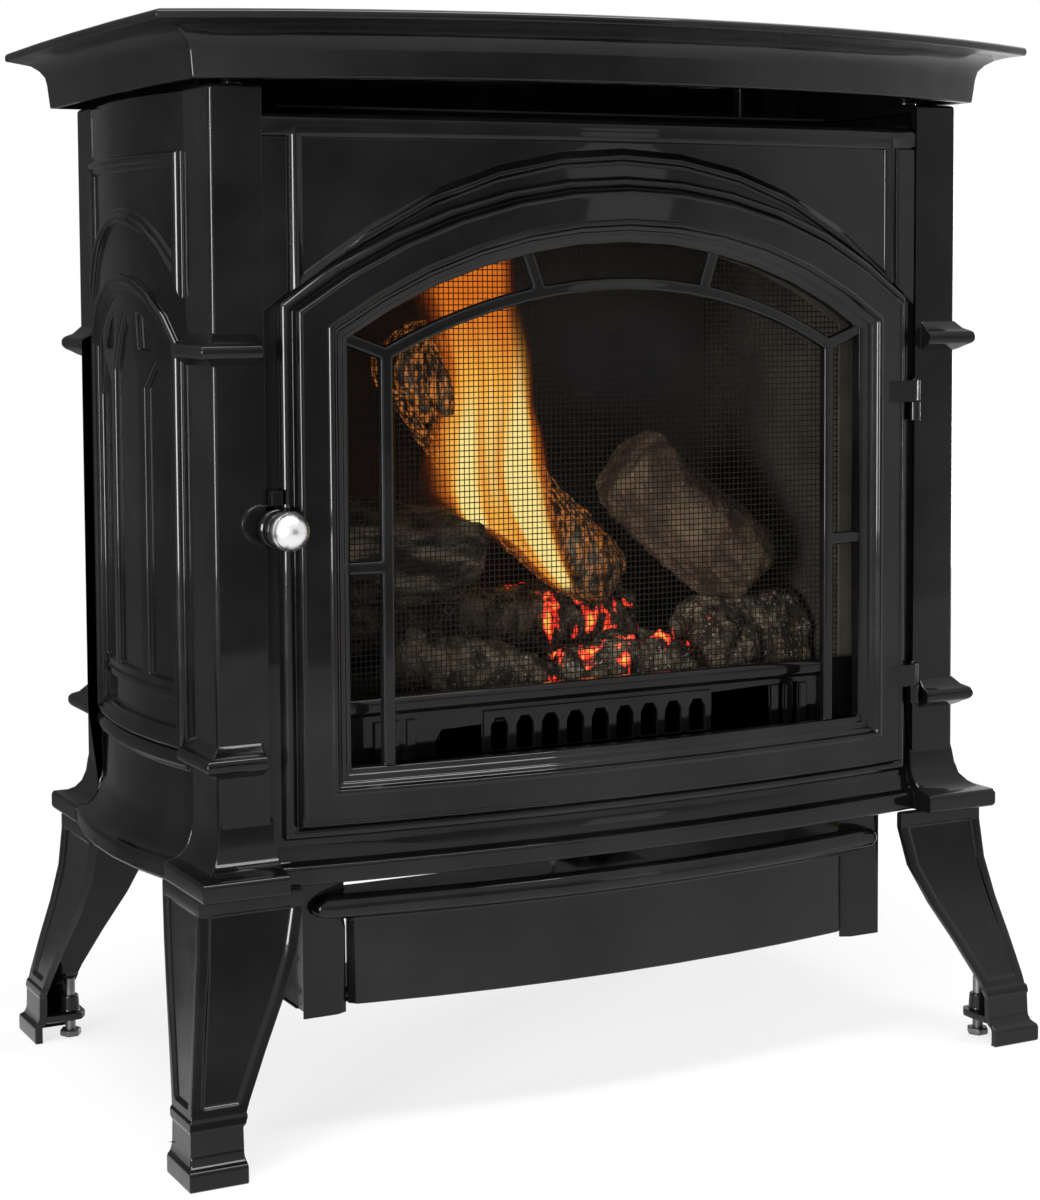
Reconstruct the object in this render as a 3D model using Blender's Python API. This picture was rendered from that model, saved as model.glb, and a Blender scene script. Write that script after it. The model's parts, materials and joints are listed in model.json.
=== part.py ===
"""A free-standing cast-iron gas stove heater, built from its separate castings, sheets and fittings.

Metres, +Z up, the front of the stove faces -Y. The origin is on the floor under the middle of the stove.
"""
import math

import bmesh
import bpy
from mathutils import Matrix, Vector

for item in list(bpy.data.objects):
    bpy.data.objects.remove(item, do_unlink=True)

# Driving dimensions: walls and clearances
gap = 0.0003                   # between pieces that seat on each other
running_gap = 0.00008          # round a shaft that turns or slides in its bore
shaft_sides = 20
iron = 0.006                   # wall of the castings
steel = 0.0015                 # wall of the sheet pieces

# The widths of the stove all follow from the clear opening of the door
opening_half = 0.207
opening_bottom = 0.256

# Body: four corner posts, a bowed front and bowed sides
body_half = opening_half + 0.093  # to the outer faces of the posts
front_y = -0.119               # outer faces of the front posts
rear_y = 0.169                 # outer faces of the rear posts
post_width = 0.037
front_return = 0.050           # depth of a front post along the side
rear_return = 0.037
post_top = 0.714
post_round = 0.003
front_bow = 0.020
side_bow = 0.012
front_recess = 0.0045          # frame face behind the post faces
rail_bottom = 0.6795
arch_crown = 0.610             # top of the door's clear opening
arch_radius = 0.3668
arch_centre = arch_crown - arch_radius
band_crown = 0.675             # top of the arched band over the door
band_radius = arch_radius - 0.0028
band_centre = band_crown - band_radius
band_width = 0.010
strip_width = 0.0178           # flat strip of the frame beside each post
plate_top = 0.6955
band_heights = (0.2555, 0.529)
band_out = 0.0115
band_inset = 0.005

# Ledge round the foot of the body
ledge_bottom = 0.179
ledge_thick = 0.014
ledge_out = 0.027
ledge_side_out = 0.0213
ledge_centre_out = 0.0102
block_overlap = 0.0033
flare_height = 0.031
flange_thick = 0.007
flange_depth = 0.022

# Mantel
mantel_half = body_half + 0.0445
mantel_corner_y = -0.147
mantel_rear_y = 0.203
mantel_radius = 0.780
mantel_top_z = 0.7574
mantel_height = 0.0412
mantel_nose = 0.0065
mantel_overhang = 0.0325
mantel_side_bow = 0.008

# Door: how far the casting reaches past its clear opening, and its bars
door_reach = 0.0465
door_step = 0.035              # from the opening to the edge of the raised face
door_face = 0.0132
door_lap = 0.020               # frame opening, past the door's clear opening
door_rim = 0.005
bar_width = 0.0092
bar_depth = 0.007
side_bar_x = opening_half - 0.028
inner_arch_radius = arch_radius + 0.0037
inner_arch_centre = arch_crown - 0.0285 - inner_arch_radius
cross_bar_z = 0.391
spoke_x = 0.071

# Hinges and latch
hinge_x = opening_half + 0.0525
hinge_back = 0.004             # hinge axis in front of the post faces
barrel_radius = 0.005
pin_radius = 0.0024
hinge_splits = (0.491, 0.2755)
door_knuckle = 0.016
frame_knuckle = 0.0145
lug_width = 0.030
latch_x = -opening_half - 0.0505
latch_z = 0.421
boss_radius = 0.0135
spindle_radius = 0.003
knob_radius = 0.0135
cam_length = 0.022
cam_width = 0.006
cam_thick = 0.003

# Legs
leg_width_top = 0.0741
leg_width_ankle = 0.0366
leg_out_top = (0.0185, 0.0108)
leg_out_ankle = (0.0386, 0.0452)
foot_flare = (0.0041, 0.0088)
ankle_z = 0.0355
leg_panel = 0.0021
leg_rim = 0.007
boss_inset = 0.031
bolt_radius = 0.004
bolt_head = 0.0085
bolt_head_top = 0.0060
bolt_travel = 0.0075

# Firebox and what stands in it
box_half = opening_half + 0.025
box_front = -0.104
box_rear = 0.135
box_floor = 0.240
box_top = 0.640
fender_half = box_half - 0.008
fender_top = 0.297
fender_thick = 0.010
screen_half = box_half - 0.0065
screen_strip = 0.012
mesh_columns = 6
mesh_rows = 4
wire = 0.0018
tray_half = box_half - 0.062
tray_front = -0.055
tray_depth = 0.130
tray_height = 0.022
throat_x = 0.035
throat_y = -0.010
mixer_radius = 0.010
pilot_at = (-0.030, -0.0815)
pilot_tube_radius = 0.0022

# Lower skirt, its drop-front cover and the gas train
cover_half = body_half - 0.0965
cover_bottom = 0.0885
cover_shoulder = 0.150
cover_top = 0.168
cover_front = -0.1315
cover_radius = 1.10
cover_end = -0.105
lip_end = -0.1118
cover_wall = 0.003
lip_out = 0.0125
lip_half = cover_half + 0.029
skirt_half = lip_half + 0.0049
skirt_y = -0.1105
skirt_bottom = 0.0825
skirt_depth = 0.110
cover_shelf_rear = -0.091
cover_axis = (0.0, -0.102, 0.094)
hinge_rod_radius = 0.0025
hinge_rod_inner = cover_half - 0.005
hinge_rod_outer = skirt_half - 0.0064
panel_y = -0.078
valve_x = 0.035
valve_z = 0.135
igniter_x = -0.060
stem_radius = 0.0042
button_radius = 0.0056

cast_black = ("enamel_black", (0.012, 0.012, 0.013), 0.12, 0.0)
matt_black = ("painted_steel", (0.020, 0.020, 0.021), 0.55, 0.3)
nickel = ("nickel", (0.78, 0.77, 0.74), 0.16, 1.0)
zinc = ("zinc", (0.62, 0.62, 0.60), 0.35, 1.0)
brass = ("brass", (0.62, 0.45, 0.20), 0.30, 1.0)
copper = ("aluminium_tube", (0.70, 0.70, 0.69), 0.38, 1.0)
ceramic = ("ceramic_log", (0.16, 0.10, 0.06), 0.90, 0.0)
charred = ("charred_log", (0.045, 0.035, 0.028), 0.95, 0.0)
ember = ("ember_rock", (0.10, 0.045, 0.03), 0.90, 0.0)
white_body = ("white_ceramic", (0.80, 0.79, 0.76), 0.45, 0.0)
grey_alloy = ("die_cast", (0.45, 0.45, 0.45), 0.50, 0.8)


# General shape tools

def spread(start, end, count):
    return [start + (end - start) * step / count for step in range(count + 1)]


def stack(rings, closed=False):
    """Joins loops of points, all with the same count, into a shell; the ends are capped if it is open."""
    bm = bmesh.new()
    loops = [[bm.verts.new(point) for point in ring] for ring in rings]
    pairs = list(zip(loops, loops[1:]))
    if closed:
        pairs.append((loops[-1], loops[0]))
    for low, high in pairs:
        for index in range(len(low)):
            after = (index + 1) % len(low)
            bm.faces.new((low[index], low[after], high[after], high[index]))
    if not closed:
        bm.faces.new(loops[0])
        bm.faces.new(loops[-1])
    return body(bm)


def body(bm):
    """Makes a working object of a bmesh, with its faces pointing out."""
    bmesh.ops.recalc_face_normals(bm, faces=bm.faces)
    mesh = bpy.data.meshes.new("work")
    bm.to_mesh(mesh)
    bm.free()
    made = bpy.data.objects.new("work", mesh)
    bpy.context.scene.collection.objects.link(made)
    return made


def loop_area(points):
    pairs = zip(points, points[1:] + points[:1])
    return sum(a[0] * b[1] - b[0] * a[1] for a, b in pairs) / 2


def turned(points, counter_clockwise):
    if (loop_area(points) > 0) == counter_clockwise:
        return list(points)
    return list(reversed(points))


def inset(points, distance):
    """Moves each side of a loop to its left by a distance, with mitred corners."""
    moved = []
    count = len(points)
    for index in range(count):
        before, here, after = points[index - 1], points[index], points[(index + 1) % count]
        into = Vector((here[0] - before[0], here[1] - before[1])).normalized()
        out = Vector((after[0] - here[0], after[1] - here[1])).normalized()
        left_in = Vector((-into.y, into.x))
        left_out = Vector((-out.y, out.x))
        mitre = (left_in + left_out) / (1 + left_in.dot(left_out))
        moved.append((here[0] + mitre.x * distance, here[1] + mitre.y * distance))
    return moved


def slab(outer, holes, front, back, chamfer=0.0):
    """A plate that faces -Y: loops of (x, z), its front and back given in y, its front edges chamfered."""
    bm = bmesh.new()
    caps = ([], [])
    loops = [turned(outer, True)] + [turned(hole, False) for hole in holes]
    for points in loops:
        levels = [(points, back), (points, front + chamfer)]
        if chamfer:
            levels.append((inset(points, chamfer), front))
        rings = [[bm.verts.new((x, y, z)) for x, z in shape] for shape, y in levels]
        for low, high in zip(rings, rings[1:]):
            for index in range(len(low)):
                after = (index + 1) % len(low)
                bm.faces.new((low[index], low[after], high[after], high[index]))
        caps[0].append(rings[0])
        caps[1].append(rings[-1])
    for rings in caps:
        edges = []
        for ring in rings:
            edges += [bm.edges.get((a, b)) for a, b in zip(ring, ring[1:] + ring[:1])]
        bmesh.ops.triangle_fill(bm, use_beauty=True, use_dissolve=False, edges=edges)
    return body(bm)


def box(x, y, z):
    """A block between two corners: x, y and z are pairs."""
    rings = [[(x[0], y[0], h), (x[1], y[0], h), (x[1], y[1], h), (x[0], y[1], h)] for h in z]
    return stack(rings)


def along_x(profile, x):
    """A profile of (y, z) points, drawn along X between two stations."""
    return stack([[(station, y, z) for y, z in profile] for station in x])


def turn(profile, axis, centre, sides=20):
    """A solid of revolution: profile points are (distance along the axis, radius)."""
    rings = []
    for reach, radius in profile:
        ring = []
        for step in range(sides):
            angle = 2 * math.pi * step / sides
            a, b = radius * math.cos(angle), radius * math.sin(angle)
            offset = {"x": (reach, a, b), "y": (b, reach, a), "z": (a, b, reach)}[axis]
            ring.append(tuple(c + o for c, o in zip(centre, offset)))
        rings.append(ring)
    return stack(rings)


def rod(axis, centre, start, end, radius, sides=16):
    return turn([(start, radius), (end, radius)], axis, centre, sides)


def pipe(points, radius, sides=8):
    """A round tube along a list of points, with flat ends."""
    curve = bpy.data.curves.new("work", "CURVE")
    curve.dimensions = "3D"
    curve.bevel_depth = radius
    curve.bevel_resolution = max(0, sides // 4 - 1)
    curve.use_fill_caps = True
    line = curve.splines.new("POLY")
    line.points.add(len(points) - 1)
    for point, place in zip(line.points, points):
        point.co = (*place, 1.0)
    guide = bpy.data.objects.new("work", curve)
    bpy.context.scene.collection.objects.link(guide)
    bpy.context.view_layer.update()
    mesh = bpy.data.meshes.new_from_object(guide.evaluated_get(bpy.context.evaluated_depsgraph_get()))
    bpy.data.objects.remove(guide, do_unlink=True)
    bm = bmesh.new()
    bm.from_mesh(mesh)
    bmesh.ops.remove_doubles(bm, verts=bm.verts, dist=1e-6)
    return body(bm)


def rounded_path(corners, radius, steps=4):
    """Points along straight runs whose corners are rounded with short arcs."""
    points = [Vector(corners[0])]
    for before, here, after in zip(corners, corners[1:], corners[2:]):
        here = Vector(here)
        back = (Vector(before) - here).normalized() * radius
        ahead = (Vector(after) - here).normalized() * radius
        for t in spread(0.0, 1.0, steps):
            points.append(here + back * (1 - t) ** 2 + ahead * t ** 2)
    points.append(Vector(corners[-1]))
    return points


def combine(base, tools, operation="UNION"):
    """Adds or cuts working bodies, one after another."""
    for tool in tools:
        change = base.modifiers.new("shape", "BOOLEAN")
        change.operation = operation
        change.solver = "EXACT"
        change.object = tool
        bpy.context.view_layer.update()
        graph = bpy.context.evaluated_depsgraph_get()
        base.data = bpy.data.meshes.new_from_object(base.evaluated_get(graph))
        base.modifiers.clear()
        bpy.data.objects.remove(tool, do_unlink=True)
    return base


def cut(base, tools):
    return combine(base, tools, "DIFFERENCE")


def disc(x, z, radius, sides=12):
    return [(x + radius * math.cos(angle), z + radius * math.sin(angle))
            for angle in spread(0.0, 2 * math.pi, sides)[:-1]]


def bend(item, stations, shift):
    """Cuts a body at x stations and moves every point in y by shift(x)."""
    bm = bmesh.new()
    bm.from_mesh(item.data)
    for x in stations:
        geometry = bm.verts[:] + bm.edges[:] + bm.faces[:]
        bmesh.ops.bisect_plane(bm, geom=geometry, dist=1e-6, plane_co=(x, 0, 0), plane_no=(1, 0, 0))
    for vertex in bm.verts:
        vertex.co.y += shift(vertex.co.x)
    bm.to_mesh(item.data)
    bm.free()
    return item


def placed(item, matrix, keep=False):
    """Moves a body's points by a matrix, or makes a moved copy; a mirrored body is turned right side out."""
    mesh = item.data.copy() if keep else item.data
    mesh.transform(matrix)
    if matrix.determinant() < 0:
        mesh.flip_normals()
    if keep:
        item = bpy.data.objects.new("work", mesh)
        bpy.context.scene.collection.objects.link(item)
    return item


def paint(spec):
    name, colour, roughness, metallic = spec
    material = bpy.data.materials.get(name) or bpy.data.materials.new(name)
    material.use_nodes = True
    shader = material.node_tree.nodes["Principled BSDF"]
    shader.inputs["Base Color"].default_value = (*colour, 1.0)
    shader.inputs["Roughness"].default_value = roughness
    shader.inputs["Metallic"].default_value = metallic
    return material


def piece(name, item, spec, pivot=None):
    """Names a finished body, gives it its material and sets its origin on its joint."""
    mesh = item.data
    mesh.materials.clear()
    mesh.materials.append(paint(spec))
    for face in mesh.polygons:
        face.material_index = 0
    mesh.shade_smooth()
    mesh.set_sharp_from_angle(angle=math.radians(32))
    if pivot is not None:
        mesh.transform(Matrix.Translation(-Vector(pivot)))
        item.location = pivot
    item.name = name
    mesh.name = name
    return item


# Shared outlines

front_half = body_half - post_width
plate_y = front_y + front_recess
front_stations = spread(-front_half, front_half, 8)


def chord(stations, height, half, x):
    """The bow of a face at x, as chords between stations, so that each strip of it is flat."""
    if abs(x) >= half:
        return 0.0
    curve = [height * (1 - (station / half) ** 2) for station in stations]
    for left, right, low, high in zip(stations, stations[1:], curve, curve[1:]):
        if left <= x <= right:
            return low + (high - low) * (x - left) / (right - left)
    return 0.0


def front_shift(x):
    return -chord(front_stations, front_bow, front_half, x)


def arch_height(radius, centre, x):
    return centre + math.sqrt(radius ** 2 - x ** 2)


def arched(half, bottom, radius, centre, steps=14):
    """A straight-sided outline with an arched top, counter-clockwise from its lower left corner."""
    shoulder = arch_height(radius, centre, half)
    start = math.atan2(shoulder - centre, half)
    points = [(-half, bottom), (half, bottom)]
    for angle in spread(start, math.pi - start, steps):
        points.append((radius * math.cos(angle), centre + radius * math.sin(angle)))
    return points


def door_outline(reach, steps=12):
    """The door's clear opening, moved outward by a distance."""
    return arched(opening_half + reach, opening_bottom - reach, arch_radius + reach, arch_centre, steps)


def arc_run(radius, centre, start_x, end_x, steps):
    return [(x, arch_height(radius, centre, x)) for x in spread(start_x, end_x, steps)]


# Mantel

def mantel_outline(side_in, front_in, z, steps=16, side_steps=4):
    half = mantel_half - side_in
    corner_y = mantel_corner_y + front_in
    centre_y = corner_y + math.sqrt(mantel_radius ** 2 - half ** 2)
    swing = math.asin(half / mantel_radius)
    points = []
    for angle in spread(-swing, swing, steps):
        points.append((mantel_radius * math.sin(angle), centre_y - mantel_radius * math.cos(angle), z))
    rear = mantel_rear_y - front_in * 0.3
    for y in spread(corner_y, rear, side_steps)[1:]:
        along = (y - corner_y) / (rear - corner_y)
        points.append((half + mantel_side_bow * 4 * along * (1 - along) * 0.5, y, z))
    mirrored = [(-x, y, z) for x, y, z in reversed(points[steps + 1:])]
    return points + mirrored


def make_mantel():
    bottom = mantel_top_z - mantel_height
    nose = mantel_top_z - mantel_nose
    front_share = 0.76
    cove_in = 0.0285
    cove_drop = 0.0170
    levels = [(0.0030, mantel_top_z), (0.0008, mantel_top_z - 0.0010), (0.0, mantel_top_z - 0.0026)]
    levels += [(0.0, nose + 0.0012), (0.0010, nose)]
    for turn_angle in spread(0.0, math.pi / 2, 5)[1:]:
        levels.append((0.0020 + cove_in * math.sin(turn_angle) * 0.98,
                       nose - cove_drop * (1 - math.cos(turn_angle))))
    levels += [(mantel_overhang - 0.0006, bottom + 0.0010), (mantel_overhang + 0.0004, bottom)]
    inner = mantel_overhang + iron
    levels += [(inner, bottom), (inner, nose - 0.004), (inner + 0.004, nose - 0.0005)]
    rings = [mantel_outline(side_in, side_in * front_share, z) for side_in, z in levels]
    shell = stack(rings)
    pads = []
    pad_foot = post_top + gap
    for side in (-1, 1):
        for y in (front_y + 0.028, rear_y - 0.026):
            x = side * (body_half - 0.026)
            pads.append(rod("z", (x, y, 0), pad_foot, nose, 0.008, 10))
        rib_x = sorted((side * (body_half - 0.016), side * (body_half - 0.012)))
        pads.append(box(rib_x, (front_y + 0.057, rear_y - 0.041), (post_top - 0.0045, nose)))
    combine(shell, pads)
    return piece("mantel_top", shell, cast_black)


# Posts, bands and the ledge blocks, in a corner frame: a points out to the side, b out to front or rear

def corner_ring(out, depth, wall, z, round_off=0.0):
    """An L in plan whose outer faces stand out by a distance."""
    ring = [(-post_width, out, z)]
    if round_off:
        for angle in spread(math.pi / 2, 0.0, 2):
            ring.append((out - round_off + round_off * math.cos(angle),
                         out - round_off + round_off * math.sin(angle), z))
    else:
        ring.append((out, out, z))
    ring += [(out, -depth, z), (-wall, -depth, z), (-wall, -wall, z), (-post_width, -wall, z)]
    return ring


def band(depth, bottom):
    """The moulded band round a post: a rounded nose between two small coves."""
    levels = ((0.0, -0.01), (0.0012, 0.22), (0.0034, 0.52), (0.0056, 0.88), (0.0084, 1.0), (0.0116, 1.0),
              (0.0142, 0.88), (0.0166, 0.42), (0.0220, -0.01))
    rings = []
    for rise, share in levels:
        out = share * band_out
        z = bottom + rise
        inner = -iron * 0.5
        rings.append([(-post_width + band_inset, out, z), (out, out, z), (out, -depth, z),
                      (inner, -depth, z), (inner, inner, z), (-post_width + band_inset, inner, z)])
    return stack(rings)


def ledge_block(depth):
    """The ledge at a corner, swept up into the post by a cove."""
    top = ledge_bottom + ledge_thick
    cove = [(0.0, 0.86), (0.0012, 0.60), (0.0045, 0.37), (0.0100, 0.19), (0.0180, 0.07),
            (flare_height - 0.003, 0.01)]
    levels = [(ledge_bottom, 0.93), (ledge_bottom + 0.0018, 1.0), (top - 0.0025, 1.0), (top - 0.0006, 0.95)]
    levels += [(top + rise, share) for rise, share in cove]
    levels.append((top + flare_height, -0.02))
    rings = []
    inner = -post_width - block_overlap
    for z, share in levels:
        b = ledge_out * share
        a = ledge_side_out * share
        rings.append([(inner, b, z), (a, b, z), (a, -depth, z), (-iron, -depth, z), (-iron, -iron, z),
                      (inner, -iron, z)])
    edge = stack(rings)
    low, high = ledge_bottom + 0.0006, ledge_bottom + flange_thick - 0.0003
    shelf = box((-post_width - block_overlap + 0.0004, ledge_side_out - 0.003),
                (-depth + 0.0004, ledge_out - 0.003), (low, high))
    return combine(edge, [shelf])


def corner_post(depth):
    top = post_top
    wall_ring = [(ledge_bottom + ledge_thick + 0.002, 0.0), (top - 0.004, 0.0)]
    column = stack([corner_ring(out, depth, iron, z, post_round) for z, out in wall_ring])
    cap_rings = []
    for z, out in ((top - iron, 0.0), (top - 0.0024, 0.0), (top - 0.0007, -0.0008), (top, -0.0026)):
        ring = corner_ring(out, depth, iron, z, post_round)[:5]
        ring[4] = (out, -depth, z)
        cap_rings.append(ring + [(-post_width, -depth, z)])
    cap = stack(cap_rings)
    parts = [cap] + [band(depth, bottom) for bottom in band_heights] + [ledge_block(depth)]
    return combine(column, parts)


def corner_frame(side, end):
    """Carries a corner's own frame to its place: side is -1 or 1 in X, end is -1 at the front, 1 at the rear."""
    y = front_y if end < 0 else rear_y
    return Matrix.Translation((side * body_half, y, 0)) @ Matrix.Diagonal((side, end, 1, 1))


# Raised mouldings on flat panels

def moulding(outline, profile, face):
    """A raised ring: outline(inset) gives its loop, profile holds (inset, height) points, face is its y."""
    rings = [[(x, face - height, z) for x, z in outline(step)] for step, height in profile]
    return stack(rings, closed=True)


panel_bead = ((0.0, -0.0015), (0.0, 0.0022), (0.0014, 0.0042), (0.0036, 0.0050), (0.0060, 0.0040),
              (0.0072, 0.0022), (0.0092, 0.0022), (0.0108, 0.0008), (0.0120, -0.0015))


def spandrel(half, top, radius, centre, steps=14):
    """The outline of a panel that an arch cuts from below."""
    def outline(step):
        points = arc_run(radius + step, centre, -half + step, half - step, steps)
        return points + [(half - step, top - step), (-half + step, top - step)]
    return outline


# Front frame

def door_edge(x):
    """The lowest z at x that stays clear of the shut door's arched edge."""
    return arch_height(arch_radius + door_reach + 0.0012, arch_centre, x)


spandrel_bead = ((-0.0005, -0.0015), (-0.0005, 0.0010), (0.0016, 0.0012), (0.0028, 0.0028), (0.0046, 0.0036),
                 (0.0064, 0.0032), (0.0078, 0.0020), (0.0104, 0.0006), (0.0114, -0.0015))


def spandrel_mouldings():
    """A flat strip beside each post, and a bead round the sunk panel that dies into the door's edge."""
    reach = front_half - strip_width
    top = rail_bottom + 0.0125
    bead = moulding(spandrel(reach, top, band_radius - band_width, band_centre, 10), spandrel_bead, plate_y)
    door_way = slab(door_outline(door_reach + 0.0012), [], plate_y - 0.020, plate_y + 0.010)
    parts = [cut(bead, [door_way])]
    for side in (-1, 1):
        sides = sorted((side * reach, side * (front_half + 0.0006)))
        strip = [(sides[0], door_edge(sides[0])), (sides[1], door_edge(sides[1])),
                 (sides[1], rail_bottom + 0.0015), (sides[0], rail_bottom + 0.0015)]
        parts.append(slab(strip, [], plate_y - 0.0032, plate_y + 0.0030, 0.0012))
    return parts


def make_front_frame():
    ledge_top = ledge_bottom + ledge_thick
    reach = front_half + 0.001
    foot = ledge_bottom + flange_thick + 0.0006
    outer = [(-reach, foot), (reach, foot), (reach, plate_top), (-reach, plate_top)]
    slot_x = cam_width / 2 + 0.0012
    slot_z = cam_length / 2 + 0.0014
    notch_x, notch_z = slot_x + 0.0050, 0.0046
    slot = [(-slot_x, -slot_z), (slot_x, -slot_z), (slot_x, -notch_z), (notch_x, -notch_z),
            (notch_x, notch_z), (slot_x, notch_z), (slot_x, slot_z), (-slot_x, slot_z)]
    slot = [(latch_x + x, latch_z + z) for x, z in slot]
    plate = slab(outer, [door_outline(door_lap), slot], plate_y, plate_y + iron)
    rail = along_x([(plate_y + 0.001, rail_bottom), (plate_y - 0.0014, rail_bottom + 0.0004),
                    (plate_y - 0.0032, rail_bottom + 0.0028), (plate_y - 0.0036, plate_top - 0.0040),
                    (plate_y - 0.0022, plate_top - 0.0005), (plate_y + 0.0010, plate_top + 0.0008),
                    (plate_y + 0.0040, plate_top + 0.0008), (plate_y + 0.0040, rail_bottom)], (-reach, reach))
    out = plate_y - ledge_centre_out
    block = front_half + block_overlap - 0.0018
    ledge = along_x([(plate_y + flange_depth, ledge_bottom), (out + 0.0014, ledge_bottom),
                     (out, ledge_bottom + 0.0018), (out, ledge_top - 0.0022), (out + 0.0016, ledge_top - 0.0003),
                     (out + 0.0048, ledge_top + 0.0006), (plate_y - 0.0026, ledge_top + 0.0036),
                     (plate_y - 0.0006, ledge_top + 0.0100), (plate_y + 0.0010, ledge_top + 0.0150),
                     (plate_y + iron - 0.0010, ledge_top + 0.0150),
                     (plate_y + iron - 0.0010, ledge_bottom + flange_thick),
                     (plate_y + flange_depth, ledge_bottom + flange_thick)], (-block, block))
    combine(plate, spandrel_mouldings() + [rail, ledge])
    bend(plate, front_stations[1:-1], front_shift)
    posts = [placed(corner_post(front_return), corner_frame(side, -1)) for side in (-1, 1)]
    combine(plate, posts)
    return piece("front_frame", plate, cast_black)


# Side panels, modelled facing -Y and turned to the side

side_front = front_y + front_return + gap
side_rear = rear_y - rear_return
side_mid = (side_front + side_rear) / 2
side_half = (side_rear - side_front) / 2
side_stations = spread(-side_half, side_half, 5)
light_half = side_half - 0.0223
light_sill = 0.305
low_panel_sill = 0.279
side_sill = 0.252
light_radius = 0.097
light_centre = 0.479


def side_shift(x):
    return -chord(side_stations, side_bow, side_half, x)


def tracery_lights():
    """Three blind lights and two eyes under one arch."""
    mullion = 0.0060
    post_x = 0.031
    low = light_sill + 0.006
    rim = 0.004
    lights = []
    centre_light = [(-post_x + mullion, low), (post_x - mullion, low), (post_x - mullion, 0.520)]
    centre_light += [(0.014, 0.546), (0.0, 0.5640), (-0.014, 0.546), (-post_x + mullion, 0.520)]
    lights.append(centre_light)
    for side in (-1, 1):
        inner = side * (post_x + mullion)
        outer = side * (light_half - rim)
        middle = (inner + outer) / 2
        lights.append([(inner, low), (outer, low), (outer, 0.503), (middle + side * 0.006, 0.520),
                       (middle, 0.530), (inner, 0.512)])
        lights.append([(side * 0.0270, 0.5380), (side * 0.0480, 0.5370), (side * 0.0560, 0.5400),
                       (side * 0.0400, 0.5570), (side * 0.0240, 0.5640)])
    return lights


def make_side_panel(side):
    face = 0.0
    ledge_top = ledge_bottom + ledge_thick
    reach = side_half + 0.0010
    top = post_top - 0.0015
    foot = ledge_bottom + flange_thick + 0.0006
    outer = [(-side_half, foot), (reach, foot), (reach, top), (-side_half, top)]
    opening = arched(light_half, light_sill, light_radius, light_centre, 8)
    low_panel = [(-light_half, low_panel_sill), (light_half, low_panel_sill),
                 (light_half, light_sill - 0.0065), (-light_half, light_sill - 0.0065)]
    plate = slab(outer, [opening, low_panel], face, face + iron)
    backing_foot = low_panel_sill - 0.005
    backing_outline = [(-light_half - 0.004, backing_foot), (light_half + 0.004, backing_foot),
                       (light_half + 0.004, 0.5450), (0.040, 0.5880), (-0.040, 0.5880), (-light_half - 0.004, 0.5450)]
    backing = slab(backing_outline, [], face + 0.0045, face + 0.0088)
    grid_reach = 0.005
    grid_outline = arched(light_half + grid_reach, light_sill - grid_reach, light_radius + grid_reach,
                          light_centre, 8)
    grid = slab(grid_outline, tracery_lights(), face + 0.0008, face + 0.0052, 0.0012)
    ring_reach = 0.0150
    arch_ring = moulding(lambda step: arched(light_half + ring_reach - step, side_sill + 0.0135 + step,
                                             light_radius + ring_reach - step, light_centre, 8), panel_bead, face)
    top_ring = moulding(spandrel(side_half - 0.004, 0.6730, 0.1143, 0.5117, 8), panel_bead, face)
    sill_profile = ((-0.0012, 0.0), (0.0030, 0.0015), (0.0052, 0.0050), (0.0040, 0.0095), (0.0016, 0.0125),
                    (-0.0012, 0.0128))
    sill = along_x([(face - height, side_sill + rise) for height, rise in sill_profile],
                   (-side_half + 0.0025, side_half - 0.0025))
    out = face - ledge_side_out
    lip = along_x([(face + flange_depth, ledge_bottom), (out + 0.0016, ledge_bottom), (out, ledge_bottom + 0.0018),
                   (out, ledge_top - 0.0025), (out + 0.0015, ledge_top - 0.0006), (out + 0.0034, ledge_top),
                   (out + 0.0085, ledge_top + 0.0012), (out + 0.0134, ledge_top + 0.0045),
                   (out + 0.0173, ledge_top + 0.0100), (out + 0.0198, ledge_top + 0.0180),
                   (face + 0.0012, ledge_top + flare_height), (face + iron - 0.0012, ledge_top + flare_height),
                   (face + iron - 0.0012, ledge_bottom + flange_thick),
                   (face + flange_depth, ledge_bottom + flange_thick)], (-side_half + 0.0004, reach + 0.0004))
    combine(plate, [backing, grid, arch_ring, top_ring, sill, lip])
    bend(plate, side_stations[1:-1], side_shift)
    seam_step = 0.0004
    turned_out = Matrix.Translation((body_half - seam_step, side_mid, 0)) @ Matrix.Rotation(math.pi / 2, 4, "Z")
    placed(plate, turned_out)
    post = placed(corner_post(rear_return), corner_frame(1, 1))
    combine(plate, [post])
    if side < 0:
        placed(plate, Matrix.Diagonal((-1, 1, 1, 1)))
    name = "side_panel_left" if side < 0 else "side_panel_right"
    return piece(name, plate, cast_black)


# Door

door_y = plate_y - 0.0005


def make_door_casting():
    step = door_step
    band_in = 0.0165
    profile = ((door_reach, 0.0), (door_reach, 0.0036), (0.0456, 0.0055), (0.0437, 0.0068), (0.0415, 0.0072),
               (0.0396, 0.0065), (step + 0.0034, 0.0052), (step + 0.0026, 0.0055), (step + 0.0020, 0.0120),
               (step + 0.0010, 0.0139), (step - 0.0004, 0.0142), (step - 0.0014, door_face),
               (band_in, door_face), (band_in - 0.0012, 0.0144), (band_in - 0.0034, 0.0143), (0.0116, 0.0112),
               (0.0094, 0.0100), (0.0080, 0.0080), (0.0052, 0.0072), (0.0032, 0.0050), (0.0, 0.0036),
               (0.0, -door_rim), (0.0140, -door_rim), (0.0152, 0.0))
    rings = [[(x, door_y - height, z) for x, z in door_outline(reach)] for reach, height in profile]
    return stack(rings, closed=True)


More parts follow.
